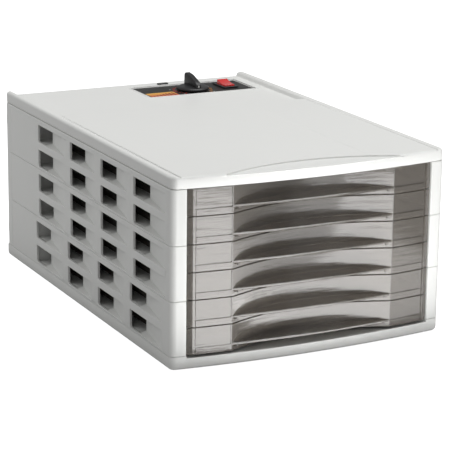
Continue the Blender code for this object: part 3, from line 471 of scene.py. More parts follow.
def scaled_vector(tree, vector, factor):
    """A vector or colour times a factor, which may be a single value or three."""
    node = tree.nodes.new("ShaderNodeVectorMath")
    per_axis = factor.type == 'VECTOR'
    node.operation = 'MULTIPLY' if per_axis else 'SCALE'
    wire(tree, vector, node.inputs[0])
    wire(tree, factor, node.inputs[1] if per_axis else node.inputs["Scale"])
    return node.outputs[0]


def coordinate(tree, kind):
    return tree.nodes.new("ShaderNodeTexCoord").outputs[kind]


def part_of(tree, vector, axis):
    node = tree.nodes.new("ShaderNodeSeparateXYZ")
    wire(tree, vector, node.inputs[0])
    return node.outputs[axis]


def mix_colour(tree, factor, a, b):
    node = tree.nodes.new("ShaderNodeMix")
    node.data_type = 'RGBA'
    for socket, value in ((node.inputs[0], factor), (node.inputs[6], a), (node.inputs[7], b)):
        if isinstance(value, (int, float)):
            socket.default_value = value
        elif isinstance(value, (tuple, list)):
            socket.default_value = (*value[:3], 1.0)
        else:
            wire(tree, value, socket)
    return node.outputs[2]


def moulded_surface_group():
    """Fine mould texture with slow changes of tone and gloss."""
    name = "Moulded surface"
    if name in bpy.data.node_groups:
        return bpy.data.node_groups[name]
    tree, inside, out = start_group(
        name, (("Colour", 'NodeSocketColor', (0.7, 0.7, 0.7, 1.0)),
               ("Tone change", 'NodeSocketFloat', 0.04), ("Roughness", 'NodeSocketFloat', 0.4),
               ("Gloss change", 'NodeSocketFloat', 0.08),
               ("Grain scale", 'NodeSocketFloat', 1400.0)),
        (("Colour", 'NodeSocketColor'), ("Roughness", 'NodeSocketFloat'),
         ("Height", 'NodeSocketFloat')))
    where = coordinate(tree, "Object")
    slow = noise(tree, where, 9.0, 2.0)
    middle = noise(tree, where, 70.0, 3.0)
    fine = noise(tree, where, inside.outputs["Grain scale"], 2.0)
    tone = math_node(tree, 'MULTIPLY', math_node(tree, 'SUBTRACT', slow, 0.5),
                     inside.outputs["Tone change"])
    factor = math_node(tree, 'ADD', 1.0, math_node(tree, 'MULTIPLY', tone, 2.0))
    wire(tree, scaled_vector(tree, inside.outputs["Colour"], factor), out.inputs["Colour"])
    gloss = math_node(tree, 'MULTIPLY', math_node(tree, 'SUBTRACT', middle, 0.5),
                      inside.outputs["Gloss change"])
    wire(tree, math_node(tree, 'ADD', inside.outputs["Roughness"],
                         math_node(tree, 'MULTIPLY', gloss, 2.0), True), out.inputs["Roughness"])
    wire(tree, fine, out.inputs["Height"])
    return tree


def handled_group():
    """Mask of faint handling marks and settled dust, strongest on faces that look up."""
    name = "Handling and dust"
    if name in bpy.data.node_groups:
        return bpy.data.node_groups[name]
    tree, inside, out = start_group(name, (("Amount", 'NodeSocketFloat', 0.3),),
                                    (("Mask", 'NodeSocketFloat'),))
    where = coordinate(tree, "Object")
    patches = noise(tree, where, 22.0, 5.0, 0.65)
    specks = noise(tree, where, 620.0, 2.0)
    normal = tree.nodes.new("ShaderNodeNewGeometry").outputs["Normal"]
    upward = math_node(tree, 'MAXIMUM', part_of(tree, normal, "Z"), 0.15)
    patch = math_node(tree, 'MULTIPLY', math_node(tree, 'SUBTRACT', patches, 0.42, True), 2.4, True)
    speck = math_node(tree, 'MULTIPLY', math_node(tree, 'SUBTRACT', specks, 0.60, True), 5.0, True)
    both = math_node(tree, 'MULTIPLY', math_node(tree, 'ADD', patch, speck, True), upward)
    wire(tree, math_node(tree, 'MULTIPLY', both, inside.outputs["Amount"]), out.inputs["Mask"])
    return tree


def use_group(tree, group, **values):
    node = tree.nodes.new("ShaderNodeGroup")
    node.node_tree = group
    for name, value in values.items():
        node.inputs[name.replace("_", " ")].default_value = value
    return node


def start_material(name):
    mat = bpy.data.materials.new(name)
    mat.use_nodes = True
    return mat, mat.node_tree, mat.node_tree.nodes["Principled BSDF"]


def moulded(name, colour, roughness=0.4, tone=0.03, gloss=0.06, grain=1400.0, bump=0.05,
            dust=0.0, coat=0.0, metallic=0.0, transmission=0.0, ior=1.5, dust_colour=None):
    """Moulded, painted or sheet material with its grain, gloss change and dust."""
    if name in bpy.data.materials:
        return bpy.data.materials[name]
    mat, tree, shader = start_material(name)
    surface = use_group(tree, moulded_surface_group(), Colour=(*colour, 1.0), Tone_change=tone,
                        Roughness=roughness, Gloss_change=gloss, Grain_scale=grain)
    colour_out = surface.outputs["Colour"]
    if dust > 0.0:
        marks = use_group(tree, handled_group(), Amount=dust)
        lighter = dust_colour or tuple(min(1.0, c * 0.75 + 0.2) for c in colour)
        colour_out = mix_colour(tree, marks.outputs["Mask"], colour_out, lighter)
    wire(tree, colour_out, shader.inputs["Base Color"])
    wire(tree, surface.outputs["Roughness"], shader.inputs["Roughness"])
    bump_node = tree.nodes.new("ShaderNodeBump")
    bump_node.inputs["Strength"].default_value = bump
    bump_node.inputs["Distance"].default_value = 0.0004
    wire(tree, surface.outputs["Height"], bump_node.inputs["Height"])
    wire(tree, bump_node.outputs["Normal"], shader.inputs["Normal"])
    shader.inputs["Coat Weight"].default_value = coat
    shader.inputs["Coat Roughness"].default_value = 0.12
    shader.inputs["Metallic"].default_value = metallic
    shader.inputs["Transmission Weight"].default_value = transmission
    shader.inputs["IOR"].default_value = ior
    return mat


def housing_plastic():
    return moulded("Light grey moulding", sizes("housing").colour, 0.42, 0.012, 0.05, 1500.0, 0.04,
                   0.05)


def lid_plastic():
    return moulded("Light grey lid moulding", sizes("housing").colour, 0.36, 0.012, 0.05, 1700.0,
                   0.03, 0.06)


def flow_group():
    """Height of the long, shallow waves left where the plastic flowed along the mould."""
    name = "Flow marks"
    if name in bpy.data.node_groups:
        return bpy.data.node_groups[name]
    tree, inside, out = start_group(name, (("Stretch", 'NodeSocketVector', (14.0, 14.0, 150.0)),),
                                    (("Height", 'NodeSocketFloat'),))
    stretched = scaled_vector(tree, coordinate(tree, "Object"), inside.outputs["Stretch"])
    wire(tree, noise(tree, stretched, 1.0, 3.0, 0.55), out.inputs["Height"])
    return tree


def smoked_plastic():
    name = "Smoked moulding"
    if name in bpy.data.materials:
        return bpy.data.materials[name]
    mat = moulded(name, sizes("tray").colour, 0.10, 0.08, 0.05, 900.0, 0.02, 0.0, coat=1.0,
                  transmission=0.72, ior=1.6)
    tree = mat.node_tree
    flow = use_group(tree, flow_group())
    waves = tree.nodes.new("ShaderNodeBump")
    waves.inputs["Strength"].default_value = 0.5
    waves.inputs["Distance"].default_value = 0.0011
    wire(tree, flow.outputs["Height"], waves.inputs["Height"])
    for node in tree.nodes:
        if node.bl_idname == "ShaderNodeBump" and node != waves:
            wire(tree, waves.outputs["Normal"], node.inputs["Normal"])
    return mat


def tray_plastic():
    return moulded("Smoked tray moulding", (0.10, 0.085, 0.075), 0.32, 0.05, 0.06, 1200.0, 0.04,
                   0.05, transmission=0.2)


def black_plastic():
    return moulded("Black satin moulding", (0.014, 0.014, 0.015), 0.34, 0.1, 0.08, 1300.0, 0.10,
                   0.12, dust_colour=(0.10, 0.10, 0.10))


def steel_sheet():
    return moulded("Plain steel sheet", (0.56, 0.57, 0.58), 0.36, 0.05, 0.14, 500.0, 0.05, 0.10,
                   metallic=1.0)


def rubber():
    return moulded("Soft black rubber", (0.03, 0.03, 0.03), 0.82, 0.1, 0.06, 700.0, 0.2, 0.3)


def panel_plastic():
    return moulded("Black printed panel", (0.012, 0.012, 0.011), 0.40, 0.12, 0.08, 1500.0, 0.06,
                   0.06, ior=1.3, dust_colour=(0.12, 0.12, 0.11))


def knob_plastic():
    return moulded("Black knob moulding", (0.010, 0.010, 0.011), 0.38, 0.15, 0.08, 1600.0, 0.12,
                   0.10, dust_colour=(0.12, 0.12, 0.12))


def sheet_plastic():
    return moulded("Woven sheet strands", (0.56, 0.55, 0.51), 0.50, 0.06, 0.08, 900.0, 0.1, 0.10)


def cream_plastic():
    return moulded("Cream moulding", (0.66, 0.61, 0.48), 0.45, 0.06, 0.08, 900.0, 0.06, 0.12)


def core_steel():
    return moulded("Stacked core steel", (0.30, 0.30, 0.31), 0.45, 0.15, 0.16, 700.0, 0.12, 0.10,
                   metallic=1.0)


def mica():
    return moulded("Mica board", (0.46, 0.40, 0.30), 0.34, 0.18, 0.16, 260.0, 0.12, 0.05, coat=0.2)


def heating_wire():
    return moulded("Coiled heating wire", (0.36, 0.33, 0.31), 0.42, 0.25, 0.12, 900.0, 0.2,
                   metallic=1.0)


def printed(name, colour):
    return moulded(name, colour, 0.42, 0.10, 0.08, 1800.0, 0.05, 0.03)


def lit_red():
    """Red translucent rocker with a lamp behind it."""
    name = "Lit red rocker"
    if name in bpy.data.materials:
        return bpy.data.materials[name]
    s = sizes("control")
    mat = moulded(name, s.rocker_colour, 0.20, 0.08, 0.06, 1200.0, 0.04, 0.02, coat=0.4,
                  transmission=0.15, dust_colour=(0.5, 0.2, 0.2))
    tree = mat.node_tree
    shader = tree.nodes["Principled BSDF"]
    glow = use_group(tree, lamp_group(), Colour=(*s.rocker_colour, 1.0))
    wire(tree, glow.outputs["Colour"], shader.inputs["Emission Color"])
    shader.inputs["Emission Strength"].default_value = s.lamp
    return mat


def lamp_group():
    """Glow that rises with height and is a little patchy."""
    name = "Lamp behind plastic"
    if name in bpy.data.node_groups:
        return bpy.data.node_groups[name]
    tree, inside, out = start_group(name, (("Colour", 'NodeSocketColor', (0.8, 0.05, 0.02, 1.0)),),
                                    (("Colour", 'NodeSocketColor'),))
    where = coordinate(tree, "Generated")
    level = math_node(tree, 'MULTIPLY', part_of(tree, where, "Z"), 0.75)
    level = math_node(tree, 'ADD', level, math_node(tree, 'MULTIPLY', noise(tree, where, 5.0), 0.25))
    wire(tree, scaled_vector(tree, inside.outputs["Colour"], level), out.inputs["Colour"])
    return tree


def label_ink():
    """Printed label that runs from amber at the back to red at the front."""
    name = "Printed label"
    if name in bpy.data.materials:
        return bpy.data.materials[name]
    mat, tree, shader = start_material(name)
    where = coordinate(tree, "Generated")
    patchy = math_node(tree, 'MULTIPLY', noise(tree, where, 6.0, 4.0), 0.3)
    along = math_node(tree, 'ADD', part_of(tree, where, "Y"), patchy)
    along = math_node(tree, 'SUBTRACT', along, 0.15, True)
    blend = mix_colour(tree, along, (0.52, 0.045, 0.012), (0.78, 0.42, 0.05))
    surface = use_group(tree, moulded_surface_group(), Tone_change=0.3, Roughness=0.36)
    wire(tree, blend, surface.inputs["Colour"])
    wire(tree, surface.outputs["Colour"], shader.inputs["Base Color"])
    wire(tree, surface.outputs["Roughness"], shader.inputs["Roughness"])
    return mat


def finish_node(node, material):
    """Give a solid that stays as packed its finished material."""
    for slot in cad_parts[node].material_slots:
        slot.link = 'OBJECT'
        slot.material = material


def soften_now(obj, width):
    """Round the sharp edges in the mesh itself, before further joins."""
    bm = bmesh.new()
    bm.from_mesh(obj.data)
    edges = [e for e in bm.edges if len(e.link_faces) == 2
             and e.calc_face_angle(0.0) > math.radians(40.0)]
    bmesh.ops.bevel(bm, geom=edges, offset=width, segments=3, affect='EDGES', profile=0.5,
                    clamp_overlap=True)
    bm.to_mesh(obj.data)
    bm.free()
    return obj


# ------------------------------------------------------------------ base
def base_pan(low, high):
    edge = 0.0008
    rings = ((0.0022, low), (edge * 0.6, low + 0.0016), (0.0, low + 0.0034),
             (0.0, high - edge), (edge * 0.3, high - edge * 0.3), (edge, high))
    return loft("base_pan", [[(x, y, z) for x, y in outline(inset, REAR - inset, HALF - inset)]
                             for inset, z in rings])


class DEHYDRATOR_OT_base(bpy.types.Operator):
    """Build the base pan with its bowed front deck"""
    bl_idname = "dehydrator.base"
    bl_label = "Base"

    def execute(self, context):
        low, high = BASE_LOW[2], BASE_HIGH[2]
        deck = low + 0.0114
        inner = HALF - sizes("housing").post_width
        base = base_pan(low, high)
        under = WALL + 0.001
        carve(base, prism("hollow", outline(under, REAR - under, HALF - under), low - 0.01,
                          deck - WALL))
        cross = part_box("fan_shroud")[0][1] - 0.018
        carve(base, boxes("well", [((-inner, corner_y() - 0.05, deck),
                                    (inner, cross, high + 0.01))]))
        carve(base, boxes("bay", [((-HALF + WALL, cross + 0.006, deck),
                                   (HALF - WALL, REAR - WALL, high + 0.01))]))
        spots = [centre("foot_%d" % n)[:2] for n in range(1, 5)]
        boss_radius, socket_radius, socket_depth = 0.011, 0.0083, 0.0033
        union(base, rods("bosses", [((x, y, low), 'Z', deck - low - 0.001, boss_radius)
                                    for x, y in spots]))
        carve(base, rods("sockets", [((x, y, low - 0.005), 'Z', 0.005 + socket_depth, socket_radius)
                                     for x, y in spots]))
        pitch, half_rib = 0.05, 0.0008
        union(base, boxes("ribs", [((k * pitch - half_rib, corner_y() + 0.06, low + 0.003),
                                    (k * pitch + half_rib, REAR - 0.05, deck - 0.001))
                                   for k in range(-2, 3)]))
        place(soften(base, 0.0), "housing", housing_plastic(), "housing", "base")
        return {'FINISHED'}


class DEHYDRATOR_OT_feet(bpy.types.Operator):
    """Build the four rubber feet"""
    bl_idname = "dehydrator.feet"
    bl_label = "Feet"

    def execute(self, context):
        hollow = 0.0006
        for number in range(1, 5):
            node = "foot_%d" % number
            (x0, _, z0), (x1, _, z1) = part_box(node)
            radius = (x1 - x0) / 2
            profile = [(0.0, z1), (radius, z1), (radius, z0 + 0.0006), (radius - 0.0007, z0),
                       (radius * 0.55, z0), (radius * 0.5, z0 + hollow), (0.0, z0 + hollow)]
            foot = lathe("rubber_" + node, profile, (*centre(node)[:2], 0.0), 40)
            place(soften(foot, 0.0), "housing", rubber(), "foot", node)
        return {'FINISHED'}


# ------------------------------------------------------------------ modules
def vent_columns(shift):
    """Ramp start, ramp end and rear edge of each vent along y."""
    first = corner_y() + 0.012
    span = CROSS_FRONT - 0.0123 - first
    bar = 0.016             # between neighbouring vents
    extra = 0.010           # the first and last vents are longer
    opened = 0.023          # through part of each vent
    count = 4
    length = (span - (count - 1) * bar - 2 * extra) / count
    columns = []
    start = first + shift
    for index in range(count):
        end = start + length + (extra if index in (0, count - 1) else 0.0)
        columns.append((start, end - opened, end))
        start = end + bar
    return columns


def vent_outline(start, end, low, high):
    """Vent opening in side view, its rear lower corner the roundest."""
    radius = sizes("housing").vent_corner
    small = radius * 0.4
    loop = arc(start + small, high - small, small, 180, 90, 5)
    loop += arc(end - small, high - small, small, 90, 0, 5)
    loop += arc(end - radius, low + radius, radius, 0, -90, 5)
    return loop + arc(start + small, low + small, small, -90, -180, 5)


def add_louvre(bm, side, start, ramp_end, low, high):
    """Ramp, roof and sloped sill that close the front part of one vent."""
    deep = HALF - sizes("housing").vent_depth
    skin = 0.0014
    over = 0.0012
    sill_rise = 0.0024

    def prism_z(plan, z0, z1):
        add_prism(bm, [(side * x, y) for x, y in plan], z0, z1)
    prism_z([(HALF - 0.0007, start + 0.0002), (deep, ramp_end), (deep - skin, ramp_end),
             (HALF - WALL + 0.0002, start - 0.0006)], low - over, high + over)
    prism_z([(HALF - 0.0012, start), (HALF - 0.0012, ramp_end), (deep - skin, ramp_end)],
            high, high + over)
    sill = [(HALF - 0.0009, low - over), (HALF - 0.0009, low - 0.0001), (deep, low + sill_rise),
            (deep - skin, low + sill_rise), (deep - skin, low - over)]
    add_prism_y(bm, [(side * x, z) for x, z in sill], start, ramp_end)


def module_plan():
    """Plan of a module: rear edges, side walls, rounded corners and the posts beside the trays."""
    s = sizes("housing")
    inner = HALF - WALL
    post = HALF - s.post_width
    y0 = corner_y()
    post_back = y0 + 0.012
    turn = HALF - s.corner_radius
    nose = 0.0012           # blunt inner edge of each post
    right = [(post, post_back), (post, y0 + bow(post) + nose),
             (post + nose * 0.3, y0 + bow(post) + nose * 0.3)]
    right += [(x, y0 + bow(x)) for x in steps(post + nose, turn, 4)]
    y_end = right[-1][1]
    right += arc(turn, y_end + s.corner_radius, s.corner_radius, -90, 0, 10)[1:]
    right += [(HALF, COVER_LOW[1] - GAP), (inner, COVER_LOW[1] - GAP), (inner, CROSS_REAR)]
    front_inner = y0 + bow(post + WALL) + WALL
    inside_left = [(-post - WALL, post_back), (-post - WALL, front_inner),
                   (-inner, front_inner + WALL / 2), (-inner, CROSS_FRONT)]
    return (right + [(-x, y) for x, y in reversed(right)] + inside_left
            + [(-x, y) for x, y in reversed(inside_left)])


def wall_slots(low):
    """Boxes that open the cross wall for the air at one level."""
    middle = low + LEVEL / 2
    half_wide, half_high, pitch = 0.012, 0.0065, 0.035
    return [(((slot - 3) * pitch - half_wide, CROSS_FRONT - 0.002, middle - half_high),
             ((slot - 3) * pitch + half_wide, CROSS_REAR + 0.002, middle + half_high))
            for slot in range(7)]


class DEHYDRATOR_OT_modules(bpy.types.Operator):
    """Build the three stacked rings with their posts, louvres, rails and cross walls"""
    bl_idname = "dehydrator.modules"
    bl_label = "Modules"

    def execute(self, context):
        rail_wide = 0.019
        for index, node in enumerate(("module_lower", "module_middle", "module_upper")):
            low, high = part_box(node)[0][2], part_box(node)[1][2]
            ring = prism(node + "_ring", module_plan(), low, high)
            shift = LOWER_VENT_SHIFT if index == 0 else 0.0
            rails, slots = [], []
            louvres = bmesh.new()
            holes = bmesh.new()
            for floor in (low, low + LEVEL):
                bottom, top = floor + VENT_LOW, floor + VENT_HIGH
                for side in (-1, 1):
                    xs = sorted((side * (HALF - WALL / 2), side * (HALF - WALL - rail_wide)))
                    rails.append(((xs[0], corner_y() + 0.014, floor + GAP),
                                  (xs[1], CROSS_FRONT + WALL / 2, floor + 0.0020)))
                    through = sorted((side * (HALF - WALL - 0.001), side * (HALF + 0.002)))
                    for start, ramp_end, end in vent_columns(shift):
                        add_louvre(louvres, side, start, ramp_end, bottom, top)
                        add_prism_x(holes, vent_outline(start, end, bottom, top), *through)
                slots += wall_slots(floor)
            carve(ring, new_piece("holes", holes))
            carve(ring, boxes("slots", slots))
            union(ring, boxes("rails", rails))
            add_to(ring, new_piece("louvres", louvres))
            soften(ring, sizes("housing").edge, 2, 50.0)
            place(ring, "housing", housing_plastic(), "housing", node)
        return {'FINISHED'}


# ------------------------------------------------------------------ lid
# Crest and toe of the ramp down to the control zone: x, and y behind the corner line
ZONE_CREST = ((-0.150, 0.301), (-0.080, 0.293), (-0.020, 0.288), (0.040, 0.291),
              (0.100, 0.288), (0.150, 0.279))
ZONE_TOE = ((-0.150, 0.328), (-0.080, 0.310), (-0.020, 0.305), (0.040, 0.310),
            (0.100, 0.307), (0.150, 0.301))


def lid_tool(lid_top):
    """Tool that shapes the lid's top: rims, grooves, flat panel and the sunk control zone."""
    s = sizes("lid")
    half = HALF - LID_INSET
    groove_x = half - s.rim_width
    panel = lid_top - s.panel_drop
    floor = lid_top - s.zone_drop
    # Sections of one rim and groove: x, then the height in front of and in the control zone
    sides = [(half - 0.0035, lid_top + 0.0002, lid_top + 0.0002),
             (half - 0.0048, lid_top - 0.0001, lid_top - 0.0001),
             (half - 0.0064, lid_top - 0.0006, lid_top - 0.0008),
             (groove_x + 0.0009, panel - 0.0003, lid_top - 0.0022),
             (groove_x + 0.0002, panel - s.groove_depth, floor + 0.0012),
             (groove_x - 0.0005, panel - s.groove_depth, floor + 0.0002),
             (groove_x - 0.0011, panel - 0.0002, floor),
             (groove_x - 0.0018, panel, floor)]
    flat = groove_x - 0.006
    columns = sides + [(x, panel, floor) for x in steps(flat, -flat, 40)]
    columns += [(-x, front, back) for x, front, back in reversed(sides)]
    y0 = corner_y()
    ramp = 12
    bm = bmesh.new()
    low_grid = []
    for step in range(-1, ramp + 2):
        blend = min(max(step / ramp, 0.0), 1.0)
        smooth = blend * blend * (3 - 2 * blend)
        row = []
        for x, front, back in columns:
            crest = y0 + interpolated(ZONE_CREST, x)
            toe = y0 + interpolated(ZONE_TOE, x)
            y = crest + (toe - crest) * blend
            if step < 0:
                y = y0 - 0.03
            elif step > ramp:
                y = REAR + 0.01
            row.append(bm.verts.new((x, y, front + (back - front) * smooth)))
        low_grid.append(row)
    high_grid = [[bm.verts.new((v.co.x, v.co.y, lid_top + 0.02)) for v in row] for row in low_grid]
    add_slab(bm, low_grid, high_grid)
    return new_piece("lid_tool", bm, True)


def lid_shell(low, top, half):
    radius = 0.0034
    rings = [(0.0010, low), (0.0003, low + 0.0004), (0.0, low + 0.0010), (0.0, top - radius)]
    for a in steps(0, 90, 7)[1:]:
        rings.append((radius * (1 - math.cos(math.radians(a))),
                      top - radius + radius * math.sin(math.radians(a))))
    return loft("lid_shell", [[(x, y, z) for x, y in outline(i, REAR - i, half - i, 8, 0.006)]
                              for i, z in rings])


def scoop(panel, top):
    """Tool for the shallow scoop in the lid's front edge."""
    s = sizes("lid")
    y0 = corner_y()
    reach = s.scoop_half + 0.002
    plan = [(x, y0 + arc_through(s.scoop_half, bow(s.scoop_half), s.scoop_apex, x))
            for x in steps(-reach, reach, 64)]
    plan += [(reach, y0 - 0.05), (-reach, y0 - 0.05)]
    return prism("scoop", plan, panel - s.scoop_depth, top + 0.01)


def grown(node, grow, z):
    """Corners of a solid's plan, moved outwards, at one height."""
    (x0, y0, _), (x1, y1, _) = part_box(node)
    return [(x0 - grow, y0 - grow, z), (x1 + grow, y0 - grow, z),
            (x1 + grow, y1 + grow, z), (x0 - grow, y1 + grow, z)]


def panel_recess(floor):
    chamfer = sizes("control").panel_chamfer
    levels = ((GAP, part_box("control_panel")[0][2] - GAP), (GAP, floor - chamfer),
              (chamfer + GAP, floor), (chamfer + GAP + 0.004, floor + 0.01))
    return loft("panel_recess", [grown("control_panel", grow, z) for grow, z in levels])


def open_for_controls(obj, low, high):
    """Cut the holes for the thermostat's neck and for the switch."""
    x, y, _ = centre("thermostat_spindle")
    carve(obj, rods("neck_hole", [((x, y, low), 'Z', NECK_HOLE_LENGTH, 0.0053)]))
    (x0, y0, _), (x1, y1, _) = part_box("switch_housing")
    flange = 0.0011
    carve(obj, boxes("switch_hole", [((x0 + flange, y0 + flange, low),
                                      (x1 - flange, y1 - flange, high))]))


class DEHYDRATOR_OT_lid(bpy.types.Operator):
    """Build the lid with its rims, scoop, control zone and panel recess"""
    bl_idname = "dehydrator.lid"
    bl_label = "Lid"

    def execute(self, context):
        s = sizes("lid")
        low, top = LID_LOW[2], LID_HIGH[2]
        half = HALF - LID_INSET
        panel = top - s.panel_drop
        floor = top - s.zone_drop
        lid = lid_shell(low, top, half)
        carve(lid, lid_tool(top))
        carve(lid, scoop(panel, top))
        y0 = corner_y()
        side = half - LID_WALL
        under = outline(LID_WALL, y0 + LID_RIB_REAR - LID_WALL, side)
        carve(lid, prism("front_hollow", under, low - 0.01, panel - LID_WALL))
        zone_under = floor - 0.0045
        carve(lid, boxes("rear_hollows", [
            ((-side, y0 + LID_RIB_REAR, low - 0.01), (side, CROSS_REAR - 0.004, zone_under)),
            ((-side, CROSS_REAR + 0.001, low - 0.01), (side, REAR - LID_WALL, zone_under))]))
        carve(lid, panel_recess(floor))
        open_for_controls(lid, zone_under - 0.004, floor + 0.01)
        soften(lid, 0.00025, 2, 40.0, 28.0)
        place(lid, "housing", lid_plastic(), "housing", "lid")
        return {'FINISHED'}


# ------------------------------------------------------------------ rear cover
def cover_shell(low, high):
    radius, edge = 0.008, 0.0006
    levels = []
    for inset, z in ((edge, low), (0.0, low + edge), (0.0, high - edge), (edge, high)):
        plan = [(-HALF + inset, COVER_LOW[1]), (HALF - inset, COVER_LOW[1])]
        plan += arc(HALF - radius, REAR - radius, radius - inset, 0, 90, 8)
        plan += arc(radius - HALF, REAR - radius, radius - inset, 90, 180, 8)
        levels.append([(x, y, z) for x, y in plan])
    return loft("rear_cover_shell", levels)


def grille(middle_z):
    """Tool for the round-ended slots in front of the fan."""
    count, pitch, half_long, radius = 9, 0.0125, 0.0475, 0.0025
    bm = bmesh.new()
    for index in range(count):
        z = middle_z + (index - count // 2) * pitch
        slot = arc(half_long, z, radius, -90, 90, 8) + arc(-half_long, z, radius, 90, 270, 8)
        add_prism_y(bm, slot, REAR - WALL - 0.002, REAR + 0.01)
    return new_piece("grille", bm)


def cover_screw(number, x, z):
    """Pan-headed screw with a thread and a cross recess."""
    head = REAR - 0.0024
    shank, core = 0.0016, 0.0012
    profile = [(0.0, 0.0024), (shank, 0.0023), (0.0027, 0.0017), (0.0034, 0.0006),
               (0.0034, 0.0), (shank, 0.0)]
    for turn in range(12):
        depth = -0.003 - turn * 0.0015
        profile += [(shank, depth + 0.0005), (core, depth)]
    profile += [(0.0004, -0.0222), (0.0, -0.0224)]
    screw = lathe("screw_%d" % number, profile, (x, head, z), 28, 'Y')
    for half_wide, half_high in ((0.0019, 0.0004), (0.0004, 0.0019)):
        carve(screw, boxes("recess", [((x - half_wide, head + 0.0012, z - half_high),
                                       (x + half_wide, head + 0.01, z + half_high))]))
    return screw


class DEHYDRATOR_OT_rear_cover(bpy.types.Operator):
    """Build the rear cover with its grille, screws and cord gland"""
    bl_idname = "dehydrator.rear_cover"
    bl_label = "Rear cover"

    def execute(self, context):
        low, high = COVER_LOW[2], COVER_HIGH[2]
        front = COVER_LOW[1]
        cover = cover_shell(low, high)
        carve(cover, boxes("hollow", [((-HALF + WALL, front - 0.01, low + WALL),
                                       (HALF - WALL, REAR - WALL, high - WALL))]))
        spots = [centre("rear_screw_%d" % n)[::2] for n in range(1, 5)]
        bosses = []
        boss_wide, boss_half = 0.013, 0.0055
        for x, z in spots:
            outer = HALF - WALL / 2
            xs = sorted((math.copysign(outer, x), math.copysign(outer - boss_wide, x)))
            bosses.append(((xs[0], front, z - boss_half), (xs[1], REAR - WALL / 2, z + boss_half)))
        union(cover, boxes("bosses", bosses))
        carve(cover, rods("screw_holes", [((x, front - 0.01, z), 'Y', 0.04, 0.0019)
                                          for x, z in spots], 20))
        carve(cover, rods("head_wells", [((x, REAR - 0.0027, z), 'Y', 0.02, 0.0037)
                                         for x, z in spots], 32))
        carve(cover, grille(centre("fan")[2]))
        gland_x, _, gland_z = centre("cord_gland")
        carve(cover, rods("gland_hole", [((gland_x, REAR - 0.02, gland_z), 'Y', 0.04, 0.0078)]))
        soften(cover, 0.0004, 2, 50.0)
        place(cover, "housing", housing_plastic(), "housing", "rear_cover")
        for n, (x, z) in enumerate(spots, 1):
            place(soften(cover_screw(n, x, z), 0.0), "housing", steel_sheet(), "steel",
                  "rear_screw_%d" % n)
        profile = [(0.0035, 0.0058), (0.0044, 0.0060), (0.0070, 0.0060), (0.0074, 0.0056),
                   (0.0074, 0.0030), (0.0095, 0.0030), (0.0095, 0.0006), (0.0090, 0.0),
                   (0.0035, 0.0)]
        gland = lathe("gland", profile, (gland_x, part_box("cord_gland")[0][1], gland_z), 48, 'Y')
        place(soften(gland, 0.0), "housing", rubber(), "black", "cord_gland")
        return {'FINISHED'}


# ------------------------------------------------------------------ trays
def front_face(x):
    """Plan offset of a tray front's outer face from the corner line."""
    s = sizes("tray")
    if abs(x) >= s.hollow_half:
        return bow(x)
    return arc_through(s.hollow_half, bow(s.hollow_half), s.hollow_apex, x)


RIDGE_OUTER = 0.1334        # upright ridge near each end of a tray front, sloping back past it
RIDGE_INNER = 0.1318
GROOVE_INNER = 0.1300       # upright groove beside the ridge


def front_relief(x, height):
    """Depth of the moulded relief at a place on a tray front."""
    s = sizes("tray")
    x = abs(x)
    if x > RIDGE_OUTER:
        return 0.0002 + (x - RIDGE_OUTER) / 0.0053 * 0.0019
    if x > RIDGE_INNER:
        return 0.0
    if x > GROOVE_INNER:
        return 0.0009
    if x > s.hollow_half + 0.0012:
        if height < s.lip_top - s.lip_thick * 0.5:
            return 0.0001
        return 0.0011 if height < s.lip_top + 0.0006 else 0.0004
    return 0.0


def front_columns(half, edge):
    """Places along x where a tray front's mesh has a column: close pairs at each step."""
    reach = sizes("tray").hollow_half
    near = 0.00012
    xs = {half, half - edge, reach}
    for step in (RIDGE_OUTER, RIDGE_INNER, GROOVE_INNER, reach + 0.0012):
        xs |= {step - near, step + near}
    xs |= set(steps(reach + 0.003, 0.127, 5)) | set(steps(0.0, reach - 0.0015, 24))
    return sorted(xs | {-x for x in xs})


def front_shell(number, base, low, high, half):
    """Smoked front wall with its relief and the hollow for the fingers."""
    s = sizes("tray")
    edge = 0.0004
    xs = front_columns(half, edge)
    shelf = base + s.lip_top - s.lip_thick * 0.5
    zs = [low, low + edge, shelf - 0.0001, shelf + 0.0001, base + s.lip_top + 0.0005,
          base + s.lip_top + 0.0007, (base + s.lip_top + high) / 2, high - edge, high]
    bm = bmesh.new()
    outer, inner = [], []
    for z in zs:
        rounding = edge if z in (low, high) else 0.0
        row, back = [], []
        for x in xs:
            turned = edge if abs(x) == half else 0.0
            face = corner_y() + front_face(x)
            depth = front_relief(x, z - base) + max(rounding, turned)
            row.append(bm.verts.new((x, face + depth, z)))
            back.append(bm.verts.new((x, face + s.wall, z)))
        outer.append(row)
        inner.append(back)
    add_slab(bm, outer, inner)
    return new_piece("smoked_front_%d" % number, bm, True)


def front_lip(base):
    """Bowed lip across the hollow, a little proud of the front."""
    s = sizes("tray")
    y0 = corner_y()
    proud = 0.0015
    clear = 0.00005
    reach = s.hollow_half - 0.0004
    top = base + s.lip_top
    under = top - s.lip_thick
    levels = []
    for inset, z in ((0.0008, under), (0.0, under + 0.0007), (0.0, top - 0.0007), (0.0006, top)):
        plan = [(x, y0 + bow(x) - proud * (1 - (x / s.hollow_half) ** 2) + inset + clear)
                for x in steps(-reach, reach, 40)]
        plan += [(x, max(y0 + front_face(x) + s.wall / 2, y0 + bow(x) + 0.0012))
                 for x in steps(reach, -reach, 40)]
        levels.append([(x, y, z) for x, y in plan])
    return loft("lip", levels, facets=True)


